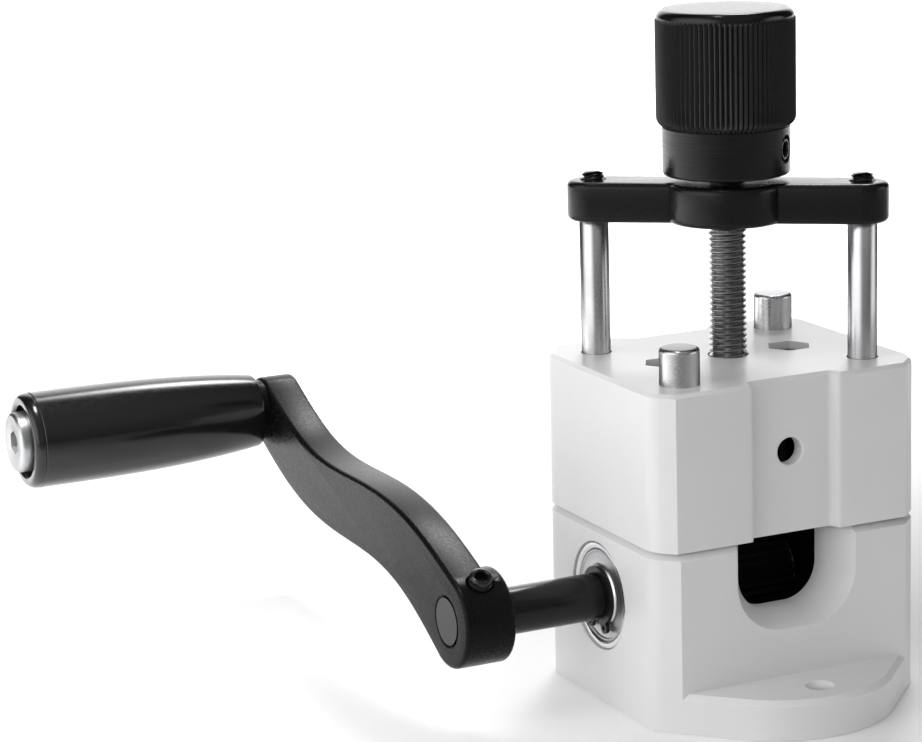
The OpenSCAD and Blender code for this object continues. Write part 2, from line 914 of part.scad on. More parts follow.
module blade_bracket() {
    color("slategray")
    difference() {
        union() {
            translate([-plate_x, -plate_y, plate_z])
                cube([2 * plate_x, 2 * plate_y, plate_t]);
            for (s = [-1, 1])
                translate([s * (cheek_x + cheek_t / 2), 0, 0]) {
                    on_axle()
                        bar_x(cheek_r, -cheek_t / 2, cheek_t / 2);
                    translate([-cheek_t / 2, -cheek_r, axle_z])
                        cube([cheek_t, 2 * cheek_r, plate_z + over - axle_z]);
                }
        }
        on_axle()
            bar_x(axle_d / 2 + seat_gap, -plate_x, plate_x);
        translate([0, 0, plate_z - over])
            cylinder(d = journal_d + 2 * run_gap, h = plate_t + 2 * over);
        for (s = [-1, 1])
            translate([s * bracket_bolt_x, 0, plate_z - over])
                cylinder(d = bracket_bolt_d + 2 * head_gap, h = plate_t + 2 * over);
    }
}

module bracket_bolts() {
    nut_top = carriage_top - nut_pocket + nut_h;
    color("dimgray")
    for (s = [-1, 1])
        translate([s * bracket_bolt_x, 0, plate_z])
            cap_screw(bracket_bolt_d, nut_top - plate_z + head_gap, bracket_head_d, bracket_head_h);
}

module bracket_nuts() {
    color("silver")
    for (s = [-1, 1])
        translate([s * bracket_bolt_x, 0, carriage_top - nut_pocket])
            difference() {
                cylinder(d = nut_af / cos(30), h = nut_h, $fn = 6);
                translate([0, 0, -over])
                    cylinder(d = bracket_bolt_d + 2 * seat_gap, h = nut_h + 2 * over);
            }
}

module blade_axle() {
    half = cheek_x + cheek_t + side_gap + clip_t + axle_land;
    color("silver")
    on_axle()
        difference() {
            bar_x(axle_d / 2, -half, half);
            for (s = [-1, 1])
                translate([s * (cheek_x + cheek_t + side_gap + clip_t / 2), 0, 0])
                    tube_x(axle_d, axle_d / 2 - clip_groove, -clip_t / 2 - seat_gap, clip_t / 2 + seat_gap);
        }
}

module axle_circlips() {
    outer = cheek_x + cheek_t + side_gap;
    color("#303030")
    on_axle()
        for (x = [-outer - clip_t, outer])
            translate([x, 0, 0])
                along_x()
                    linear_extrude(clip_t)
                        difference() {
                            circle(r = axle_d / 2 + clip_band / 2);
                            circle(r = axle_d / 2 - clip_groove + seat_gap);
                            translate([0, -axle_d / 4])
                                square([axle_d, axle_d / 2]);
                        }
}

module blade_wheel() {
    color("lightsteelblue")
    on_axle()
        along_x()
            rotate_extrude()
                polygon([[blade_core_r + seat_gap, -blade_t / 2], [blade_d / 2 - blade_bevel, -blade_t / 2],
                    [blade_d / 2, -blade_edge_t / 2], [blade_d / 2, blade_edge_t / 2],
                    [blade_d / 2 - blade_bevel, blade_t / 2], [blade_core_r + seat_gap, blade_t / 2]]);
}

module blade_hub() {
    bore = axle_d / 2 + run_gap;
    color("goldenrod")
    on_axle()
        difference() {
            union() {
                bar_x(blade_core_r, -hub_half, hub_half);
                bar_x(blade_flange_r, -blade_t / 2 - clamp_t, -blade_t / 2);
            }
            bar_x(bore, -hub_half - over, hub_half + over);
        }
}

module blade_clamp_ring() {
    color("goldenrod")
    on_axle()
        tube_x(blade_flange_r, blade_core_r + seat_gap, blade_t / 2, blade_t / 2 + clamp_t);
}

// The thread's outline: one crest and one root a turn
function thread_points() = [for (i = [0:thread_turns - 1], q = [0, 1, 2, 3])
    [q == 0 || q == 3 ? screw_d / 2 - thread_depth : screw_d / 2,
        thread_z + pitch * (i + (q == 0 ? 0.06 : q == 1 ? 0.44 : q == 2 ? 0.56 : 0.94))]];

module lift_screw() {
    groove_z = plate_z - washer_t - side_gap - clip_t;
    color("#2b2b2b")
    rotate_extrude()
        polygon(concat(
            [[0, journal_end], [journal_d / 2, journal_end], [journal_d / 2, groove_z - seat_gap],
                [journal_d / 2 - clip_groove, groove_z - seat_gap],
                [journal_d / 2 - clip_groove, groove_z + clip_t + seat_gap],
                [journal_d / 2, groove_z + clip_t + seat_gap],
                [journal_d / 2, plate_top + side_gap],
                [screw_d / 2 - thread_depth, plate_top + side_gap]],
            thread_points(),
            [[screw_d / 2 - thread_depth, thread_z + pitch * thread_turns], [screw_d / 2, collar_z],
                [screw_d / 2, screw_top], [0, screw_top]]));
}

module lift_washer() {
    color("silver")
    translate([0, 0, plate_z - washer_t])
        difference() {
            cylinder(d = washer_d, h = washer_t);
            translate([0, 0, -over])
                cylinder(d = journal_d + 2 * run_gap, h = washer_t + 2 * over);
        }
}

module lift_circlip() {
    color("#303030")
    translate([0, 0, plate_z - washer_t - side_gap - clip_t])
        linear_extrude(clip_t)
            circlip_shape(journal_d);
}

module knob() {
    color("#181818")
    difference() {
        union() {
            translate([0, 0, collar_z])
                cylinder(d = collar_d, h = collar_h + over);
            translate([0, 0, knurl_z])
                linear_extrude(knob_h - knob_cap_h)
                    polygon(flutes(knob_flutes, knob_d / 2, flute_depth));
            translate([0, 0, knob_top - knob_cap_h])
                rotate_extrude()
                    polygon(concat([[0, 0], [knob_d / 2 - flute_depth / 2, 0]],
                        arc(knob_d / 2 - flute_depth / 2 - knob_round, knob_cap_h - knob_round, knob_round, 0, 90),
                        [[0, knob_cap_h]]));
        }
        translate([0, 0, collar_z - over])
            cylinder(d = screw_d + 2 * seat_gap, h = screw_top + seat_gap - collar_z + over);
        translate([0, 0, knob_screw_z])
            rotate([0, 90, knob_screw_turn])
                cylinder(d = set_screw_d + 2 * seat_gap, h = knob_d);
    }
}

module knob_set_screw() {
    color("#101010")
    translate([0, 0, knob_screw_z])
        rotate([0, 90, knob_screw_turn])
            translate([0, 0, collar_d / 2 + seat_gap])
                socket_screw(set_screw_d, (collar_d - screw_d) / 2 - side_gap);
}

base_block();
foot_screws();
guide_posts();
guide_pins();
yoke();
yoke_studs();
left() bearing_outer_ring();  // left_bearing_outer_ring
left() bearing_inner_ring();  // left_bearing_inner_ring
left() bearing_balls();  // left_bearing_balls
left() bearing_cage();  // left_bearing_cage
left() bearing_shields();  // left_bearing_shields
bearing_outer_ring();  // right_bearing_outer_ring
bearing_inner_ring();  // right_bearing_inner_ring
bearing_balls();  // right_bearing_balls
bearing_cage();  // right_bearing_cage
bearing_shields();  // right_bearing_shields
drive_shaft();
shaft_circlips();
shaft_spacers();
feed_roller();
roller_key();
crank_arm();
crank_set_screw();
handle_bolt();
handle_grip();
carriage_block();
blade_bracket();
bracket_bolts();
bracket_nuts();
blade_axle();
axle_circlips();
blade_wheel();
blade_hub();
blade_clamp_ring();
lift_screw();
lift_washer();
lift_circlip();
knob();
knob_set_screw();
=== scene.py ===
"""Dresses the hand-cranked wire stripping machine and sets it on a pale studio floor.

Sizes are in millimetres in the machine's own frame: +Z up, X along the crank shaft, Y along the wire.
"""

import logging
import math
from contextlib import contextmanager
from dataclasses import dataclass
from enum import Enum
from typing import Callable, Iterator, Sequence

import bmesh
import bpy
from mathutils import Matrix, Vector


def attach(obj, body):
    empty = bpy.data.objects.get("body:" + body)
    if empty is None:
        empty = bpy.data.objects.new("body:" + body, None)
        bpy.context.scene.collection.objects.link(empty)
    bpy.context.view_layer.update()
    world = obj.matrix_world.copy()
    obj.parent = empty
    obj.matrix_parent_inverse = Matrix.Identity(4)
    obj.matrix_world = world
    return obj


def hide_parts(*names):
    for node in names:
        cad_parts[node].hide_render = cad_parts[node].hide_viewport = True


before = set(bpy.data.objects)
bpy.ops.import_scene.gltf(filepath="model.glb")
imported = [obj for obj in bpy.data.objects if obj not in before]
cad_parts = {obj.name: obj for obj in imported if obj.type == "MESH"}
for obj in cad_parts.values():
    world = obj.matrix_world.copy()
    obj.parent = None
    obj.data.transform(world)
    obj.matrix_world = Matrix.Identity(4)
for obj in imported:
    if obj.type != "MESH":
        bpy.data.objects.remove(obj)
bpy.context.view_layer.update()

MM = 0.001
Point = tuple[float, float, float]
Pair = tuple[float, float]
Test = Callable[[object], bool]
log = logging.getLogger("wire_stripper")


def mm(*values: float) -> Vector:
    """Gives a place or a size in metres from millimetres."""
    return Vector(values) * MM


def arc(centre: Pair, radius: float, start: float, end: float, steps: int) -> list[Pair]:
    """Gives points along an arc.

    Args:
        centre: The arc's centre.
        radius: Its radius.
        start: The first point's angle, in degrees.
        end: The last point's angle, in degrees.
        steps: How many pieces the arc has.

    Returns:
        The points, one more than there are steps.
    """
    turns = [math.radians(start + (end - start) * i / steps) for i in range(steps + 1)]
    return [(centre[0] + radius * math.cos(t), centre[1] + radius * math.sin(t)) for t in turns]


class Plane(Enum):
    """The plane that a flat outline is traced in."""

    PLAN = "xy"
    SIDE = "yz"
    FRONT = "xz"

    def place(self, pair: Pair, height: float) -> Vector:
        """Gives the point of an outline, in metres.

        Args:
            pair: The point's two values in the plane.
            height: The plane's distance along the third axis.

        Returns:
            The point in the machine's frame.
        """
        a, b = pair
        if self is Plane.PLAN:
            return mm(a, b, height)
        return mm(height, a, b) if self is Plane.SIDE else mm(a, height, b)

    def normal(self) -> Vector:
        """Gives the plane's third axis."""
        return {Plane.PLAN: Vector((0, 0, 1)), Plane.SIDE: Vector((1, 0, 0))}.get(self, Vector((0, 1, 0)))


class Join(Enum):
    """What a boolean does with its second solid."""

    CUT = "DIFFERENCE"
    ADD = "UNION"


class Bench:
    """The hand tools: each one makes or shapes a mesh object with Blender's own operators."""

    @staticmethod
    def pick(*objects: bpy.types.Object) -> bpy.types.Object:
        """Deselects everything, then selects the objects and makes the first one active.

        Args:
            objects: The objects to select.

        Returns:
            The first object.
        """
        if bpy.context.object is not None and bpy.context.object.mode != "OBJECT":
            bpy.ops.object.mode_set(mode="OBJECT")
        bpy.ops.object.select_all(action="DESELECT")
        for item in objects:
            item.select_set(True)
        bpy.context.view_layer.objects.active = objects[0]
        return objects[0]

    @staticmethod
    def fresh() -> None:
        """Deselects everything ahead of a new primitive."""
        if bpy.context.object is not None and bpy.context.object.mode != "OBJECT":
            bpy.ops.object.mode_set(mode="OBJECT")
        bpy.ops.object.select_all(action="DESELECT")

    @staticmethod
    @contextmanager
    def editing(item: bpy.types.Object) -> Iterator[None]:
        """Holds one object in edit mode."""
        Bench.pick(item)
        bpy.ops.object.mode_set(mode="EDIT")
        yield
        bpy.ops.object.mode_set(mode="OBJECT")

    @staticmethod
    def select(kind: str, test: Test) -> int:
        """Selects parts of the mesh in edit mode by a test.

        Args:
            kind: VERT, EDGE or FACE.
            test: Says of one vertex, edge or face whether it is wanted.

        Returns:
            How many were selected.
        """
        bpy.ops.mesh.select_mode(type=kind)
        bpy.ops.mesh.select_all(action="DESELECT")
        mesh = bmesh.from_edit_mesh(bpy.context.object.data)
        parts = {"VERT": mesh.verts, "EDGE": mesh.edges, "FACE": mesh.faces}[kind]
        wanted = [part for part in parts if test(part)]
        for part in wanted:
            part.select_set(True)
        mesh.select_flush_mode()
        bmesh.update_edit_mesh(bpy.context.object.data)
        return len(wanted)

    @staticmethod
    def trace(name: str, points: Sequence[Vector]) -> bpy.types.Object:
        """Extrudes one vertex from point to point and stays in edit mode with all of it selected.

        Args:
            name: The new object's name.
            points: The points, in metres.

        Returns:
            The object that holds the open chain.
        """
        Bench.fresh()
        bpy.ops.mesh.primitive_plane_add(size=MM, location=points[0])
        item = bpy.context.object
        item.name = item.data.name = name
        bpy.ops.object.transform_apply(location=True, rotation=True, scale=True)
        bpy.ops.object.mode_set(mode="EDIT")
        bpy.ops.mesh.select_mode(type="VERT")
        bpy.ops.mesh.select_all(action="SELECT")
        bpy.ops.mesh.merge(type="CENTER")
        for here, there in zip(points, points[1:]):
            bpy.ops.mesh.extrude_region_move(TRANSFORM_OT_translate={"value": there - here})
        bpy.ops.mesh.select_all(action="SELECT")
        return item

    @staticmethod
    def prism(name: str, outline: Sequence[Pair], plane: Plane, low: float, high: float) -> bpy.types.Object:
        """Traces a closed outline, fills it and extrudes it.

        Args:
            name: The new object's name.
            outline: The outline's points.
            plane: The plane it is traced in.
            low: Where it starts along the third axis.
            high: Where it ends.

        Returns:
            The solid, in object mode.
        """
        item = Bench.trace(name, [plane.place(pair, low) for pair in outline])
        bpy.ops.mesh.edge_face_add()
        bpy.ops.mesh.extrude_region_move(
            TRANSFORM_OT_translate={"value": plane.normal() * (high - low) * MM})
        bpy.ops.mesh.select_all(action="SELECT")
        bpy.ops.mesh.normals_make_consistent(inside=False)
        bpy.ops.object.mode_set(mode="OBJECT")
        return item

    @staticmethod
    def set_down(item: bpy.types.Object, place: Matrix) -> bpy.types.Object:
        """Moves a piece from the origin to its place and leaves its object at the origin.

        Args:
            item: The piece.
            place: Where it goes, in metres.

        Returns:
            The piece.
        """
        item.matrix_world = place
        Bench.pick(item)
        bpy.ops.object.transform_apply(location=True, rotation=True, scale=True)
        return item

    @staticmethod
    def turn(name: str, profile: Sequence[Pair], steps: int, place: Matrix = Matrix()) -> bpy.types.Object:
        """Turns a profile round the Z axis as on a lathe, then sets it in its place.

        Args:
            name: The new object's name.
            profile: Radius and height of each point.
            steps: How many steps go round.
            place: Where the turned piece goes, in metres.

        Returns:
            The finished shell, in object mode.
        """
        item = Bench.trace(name, [mm(r, 0, z) for r, z in profile])
        bpy.ops.mesh.spin(steps=steps, angle=2 * math.pi, center=(0, 0, 0), axis=(0, 0, 1))
        bpy.ops.mesh.select_all(action="SELECT")
        bpy.ops.mesh.remove_doubles(threshold=2e-6)
        bpy.ops.mesh.normals_make_consistent(inside=False)
        bpy.ops.object.mode_set(mode="OBJECT")
        return Bench.set_down(item, place)

    @staticmethod
    def thread(name: str, radius: float, depth: float, pitch: float, low: float, high: float,
               place: Matrix = Matrix(), steps: int = 48) -> bpy.types.Object:
        """Winds one tooth round the Z axis into a right-hand thread and cuts both ends flat.

        Args:
            name: The new object's name.
            radius: The thread's outside radius.
            depth: How deep it is cut.
            pitch: Its rise in one turn.
            low: Where it starts on the axis.
            high: Where it ends.
            place: Where the threaded piece goes, in metres.
            steps: How many steps go round.

        Returns:
            The threaded rod. Some of its edges are still open where the ends are cut.
        """
        start = low - 2 * pitch
        root = radius - depth
        tooth = [(root, 0.0), (radius, 0.42), (radius, 0.54), (root, 0.96), (root, 1.0)]
        item = Bench.trace(name, [mm(r, 0, start + share * pitch) for r, share in tooth])
        Bench.pick(item)
        bpy.ops.object.modifier_add(type="SCREW")
        wind = item.modifiers[-1]
        wind.screw_offset = pitch * MM
        wind.angle = 2 * math.pi
        wind.iterations = math.ceil((high - low) / pitch) + 4
        wind.steps = wind.render_steps = steps
        wind.use_merge_vertices = True
        wind.merge_threshold = 1e-6
        bpy.ops.object.modifier_apply(modifier=wind.name)
        bpy.ops.object.mode_set(mode="EDIT")
        for level, way in ((low, -1), (high, 1)):
            bpy.ops.mesh.select_all(action="SELECT")
            bpy.ops.mesh.bisect(plane_co=mm(0, 0, level), plane_no=(0, 0, way), use_fill=True,
                                clear_outer=True)
        bpy.ops.mesh.select_all(action="SELECT")
        bpy.ops.mesh.remove_doubles(threshold=1e-6)
        bpy.ops.mesh.normals_make_consistent(inside=False)
        bpy.ops.object.mode_set(mode="OBJECT")
        return Bench.set_down(item, place)

    @staticmethod
    def join(first: bpy.types.Object, *others: bpy.types.Object) -> bpy.types.Object:
        """Makes one object of several meshes."""
        Bench.pick(first, *others)
        bpy.ops.object.join()
        return first

    @staticmethod
    def rod(radius: float, place: Matrix, low: float, high: float, sides: int = 64) -> bpy.types.Object:
        """Makes a plain round or many-sided rod that serves as a cutter.

        Args:
            radius: Its radius, to the corners.
            place: The frame whose Z axis it lies on, in metres.
            low: Where it starts on that axis.
            high: Where it ends.
            sides: How many sides it has.

        Returns:
            The rod.
        """
        Bench.fresh()
        bpy.ops.mesh.primitive_cylinder_add(
            vertices=sides, radius=radius * MM, depth=(high - low) * MM, location=mm(0, 0, (low + high) / 2),
            rotation=(0, 0, math.pi / 2))
        item = bpy.context.object
        bpy.ops.object.transform_apply(location=True, rotation=True, scale=True)
        return Bench.set_down(item, place)

    @staticmethod
    def sink(radius: float, low: float, rise: float, steps: int, place: Matrix) -> bpy.types.Object:
        """Makes the cutter of a 45 degree chamfer round a hole's mouth.

        Args:
            radius: Its radius at its low end.
            low: Where it starts on the hole's axis.
            rise: How far it rises and widens.
            steps: How many steps go round.
            place: The hole's frame, in metres.

        Returns:
            The cutter.
        """
        profile = [(0, low), (radius, low), (radius + rise, low + rise), (0, low + rise)]
        return Bench.turn("sink", profile, steps, place)

    @staticmethod
    def cut(body: bpy.types.Object, *cutters: bpy.types.Object, how: Join = Join.CUT) -> bpy.types.Object:
        """Takes cutters out of a body, or joins them to it.

        Args:
            body: The solid that is kept.
            cutters: The solids that are used up.
            how: What is done with them.

        Returns:
            The body.
        """
        for cutter in cutters:
            Bench.pick(body)
            bpy.ops.object.modifier_add(type="BOOLEAN")
            step = body.modifiers[-1]
            step.operation = how.value
            step.solver = "EXACT"
            step.object = cutter
            bpy.ops.object.modifier_apply(modifier=step.name)
            bpy.data.objects.remove(cutter)
        return body

    @staticmethod
    def clean(body: bpy.types.Object, angle: float = 1.0) -> bpy.types.Object:
        """Merges doubled points and dissolves the seams between flat faces.

        Args:
            body: The solid.
            angle: The widest angle between faces that still counts as flat, in degrees.

        Returns:
            The body.
        """
        with Bench.editing(body):
            bpy.ops.mesh.select_all(action="SELECT")
            bpy.ops.mesh.remove_doubles(threshold=5e-6)
            bpy.ops.mesh.dissolve_limited(angle_limit=math.radians(angle))
        return body

    @staticmethod
    def round_edges(body: bpy.types.Object, tests: Sequence[Test], width: float, segments: int) -> None:
        """Bevels the chosen edges of a solid, one group after another.

        Args:
            body: The solid.
            tests: Each one says of one edge whether it belongs to its group.
            width: The bevel's width.
            segments: How many strips it has.
        """
        with Bench.editing(body):
            for test in tests:
                Bench.select("EDGE", test)
                bpy.ops.mesh.bevel(offset=width * MM, segments=segments, profile=0.5, clamp_overlap=True)

    @staticmethod
    def soften(body: bpy.types.Object, width: float, finish: int) -> None:
        """Rounds every sharp edge a little and shades the piece smooth.

        Args:
            body: The piece.
            width: The rounding's width.
            finish: Which of the piece's finishes the roundings get.
        """
        Bench.pick(body)
        bpy.ops.object.shade_smooth()
        bpy.ops.object.modifier_add(type="BEVEL")
        step = body.modifiers[-1]
        step.width = width * MM
        step.segments = 2
        step.limit_method = "ANGLE"
        step.angle_limit = math.radians(35.0)
        step.material = finish
        step.harden_normals = True
        step.use_clamp_overlap = True
        step.miter_outer = "MITER_ARC"
        bpy.ops.object.modifier_apply(modifier=step.name)

    @staticmethod
    def shade(body: bpy.types.Object, angle: float) -> bpy.types.Object:
        """Shades a piece smooth but for edges sharper than an angle, in degrees."""
        Bench.pick(body)
        bpy.ops.object.shade_smooth_by_angle(angle=math.radians(angle))
        return body


def on_level(axis: int, level: float) -> Test:
    """Gives the test of an edge that lies wholly at one level along an axis."""
    return lambda edge: all(abs(vert.co[axis] - level * MM) < 1e-6 for vert in edge.verts)


def along_x(x: float, y: float, z: float, way: int = 1) -> Matrix:
    """Gives the frame whose Z axis lies along X.

    Args:
        x: The frame's place along X.
        y: Its place along Y.
        z: Its place along Z.
        way: 1 to point along +X, -1 along -X.

    Returns:
        The frame, in metres.
    """
    return Matrix.Translation(mm(x, y, z)) @ Matrix.Rotation(way * math.pi / 2, 4, "Y")


def along_y(x: float, z: float) -> Matrix:
    """Gives the frame at y = 0 whose Z axis lies along -Y."""
    return Matrix.Translation(mm(x, 0, z)) @ Matrix.Rotation(math.pi / 2, 4, "X")


def along_z(x: float, y: float, z: float = 0) -> Matrix:
    """Gives an upright frame at a place."""
    return Matrix.Translation(mm(x, y, z))


class Axis(Enum):
    """The axis that turning marks run round."""

    X = (1.0, 0.0, 0.0)
    Z = (0.0, 0.0, 1.0)


class Graph:
    """A small helper that adds and links shader nodes."""

    def __init__(self, name: str) -> None:
        """Starts an empty material with its shader and output."""
        self.material = bpy.data.materials.new(name)
        self.material.use_nodes = True
        self.tree = self.material.node_tree
        self.shader = self.tree.nodes["Principled BSDF"]
        self.place = self.add("ShaderNodeTexCoord").outputs["Object"]

    def add(self, kind: str, values: dict | None = None, **inputs: object) -> bpy.types.Node:
        """Adds a node.

        Args:
            kind: The node's type.
            values: Settings of the node itself.
            inputs: A socket to link or a value for each input, with _ for a space.

        Returns:
            The node.
        """
        node = self.tree.nodes.new(kind)
        for key, value in (values or {}).items():
            setattr(node, key, value)
        for key, value in inputs.items():
            numbered = key[0] == "i" and key[1:].isdigit()
            socket = node.inputs[int(key[1:]) if numbered else key.replace("_", " ")]
            if isinstance(value, bpy.types.NodeSocket):
                self.tree.links.new(value, socket)
            else:
                socket.default_value = value
        return node

    def noise(self, vector: bpy.types.NodeSocket, scale: float, detail: float = 3.0) -> bpy.types.NodeSocket:
        """Gives a noise pattern's value."""
        return self.add("ShaderNodeTexNoise", Vector=vector, Scale=scale, Detail=detail).outputs[0]

    def spread(self, value: bpy.types.NodeSocket, low: float, high: float) -> bpy.types.NodeSocket:
        """Maps the middle of a noise pattern onto a range."""
        return self.add("ShaderNodeMapRange", Value=value, From_Min=0.3, From_Max=0.7, To_Min=low,
                        To_Max=high).outputs[0]

    def tint(self, value: bpy.types.NodeSocket, colour: Point, spread: float) -> None:
        """Lets the base colour wander a little round its middle.

        Args:
            value: The pattern.
            colour: The middle colour.
            spread: How far it wanders, as a share.
        """
        ramp = self.add("ShaderNodeValToRGB", Fac=value)
        for end, stop, share in ((0, 0.3, 1 - spread), (1, 0.7, 1 + spread)):
            ramp.color_ramp.elements[end].position = stop
            ramp.color_ramp.elements[end].color = (*[min(1.0, c * share) for c in colour], 1)
        self.link(ramp.outputs[0], "Base Color")

    def link(self, value: bpy.types.NodeSocket, socket: str) -> None:
        """Links a value to the shader."""
        self.tree.links.new(value, self.shader.inputs[socket])

    def relief(self, value: bpy.types.NodeSocket, strength: float, height: float) -> None:
        """Raises the surface by a pattern.

        Args:
            value: The pattern.
            strength: The bump's strength.
            height: Its height in millimetres.
        """
        node = self.add("ShaderNodeBump", Strength=strength, Distance=height * MM, Height=value)
        self.link(node.outputs[0], "Normal")


@dataclass(frozen=True)
class Moulded:
    """A moulded or coated finish with a fine even grain."""

    name: str
    colour: Point
    roughness: float
    grain: float = 900.0
    grain_height: float = 0.02
    spread: float = 0.02
    coat: float = 0.0
    level: float = 0.5

    def material(self) -> bpy.types.Material:
        """Builds the material."""
        graph = Graph(self.name)
        cloud = graph.noise(graph.place, 60.0, 4.0)
        grain = graph.noise(graph.place, self.grain, 3.0)
        graph.tint(cloud, self.colour, self.spread)
        graph.link(graph.spread(grain, self.roughness - 0.04, self.roughness + 0.04), "Roughness")
        graph.relief(grain, 0.35, self.grain_height)
        graph.shader.inputs["Coat Weight"].default_value = self.coat
        graph.shader.inputs["Coat Roughness"].default_value = 0.12
        graph.shader.inputs["Specular IOR Level"].default_value = self.level
        return graph.material


@dataclass(frozen=True)
class Turned:
    """A turned or ground metal finish with fine rings round an axis."""

    name: str
    colour: Point
    roughness: float
    axis: Axis = Axis.Z
    centre: Point = (0.0, 0.0, 0.0)
    metallic: float = 1.0
    pitch: float = 0.25
    height: float = 0.01
    spread: float = 0.12
    level: float = 0.5
    rim: float = 1.0

    def material(self) -> bpy.types.Material:
        """Builds the material."""
        graph = Graph(self.name)
        moved = graph.add("ShaderNodeVectorMath", {"operation": "SUBTRACT"}, i0=graph.place,
                          i1=mm(*self.centre))
        axis = Vector(self.axis.value)
        height = graph.add("ShaderNodeVectorMath", {"operation": "DOT_PRODUCT"}, i0=moved.outputs[0], i1=axis)
        flat = graph.add("ShaderNodeVectorMath", {"operation": "MULTIPLY"}, i0=moved.outputs[0],
                         i1=Vector((1, 1, 1)) - axis)
        radius = graph.add("ShaderNodeVectorMath", {"operation": "LENGTH"}, i0=flat.outputs[0])
        rings = graph.add("ShaderNodeCombineXYZ", X=height.outputs["Value"], Y=radius.outputs["Value"])
        lines = graph.noise(rings.outputs[0], 1 / (self.pitch * MM), 5.0)
        cloud = graph.noise(graph.place, 70.0, 3.0)
        graph.tint(cloud, self.colour, self.spread)
        graph.link(graph.spread(lines, self.roughness - 0.05, self.roughness + 0.07), "Roughness")
        graph.relief(lines, 0.5, self.height)
        graph.shader.inputs["Metallic"].default_value = self.metallic
        graph.shader.inputs["Specular IOR Level"].default_value = self.level
        graph.shader.inputs["Specular Tint"].default_value = (self.rim, self.rim, self.rim, 1)
        return graph.material


Finish = Moulded | Turned
SHAFT: Point = (0.0, 0.0, 27.7)
BLADE: Point = (0.0, 0.0, 54.5)
HANDLE: Point = (-117.0, 121.6, 56.7)


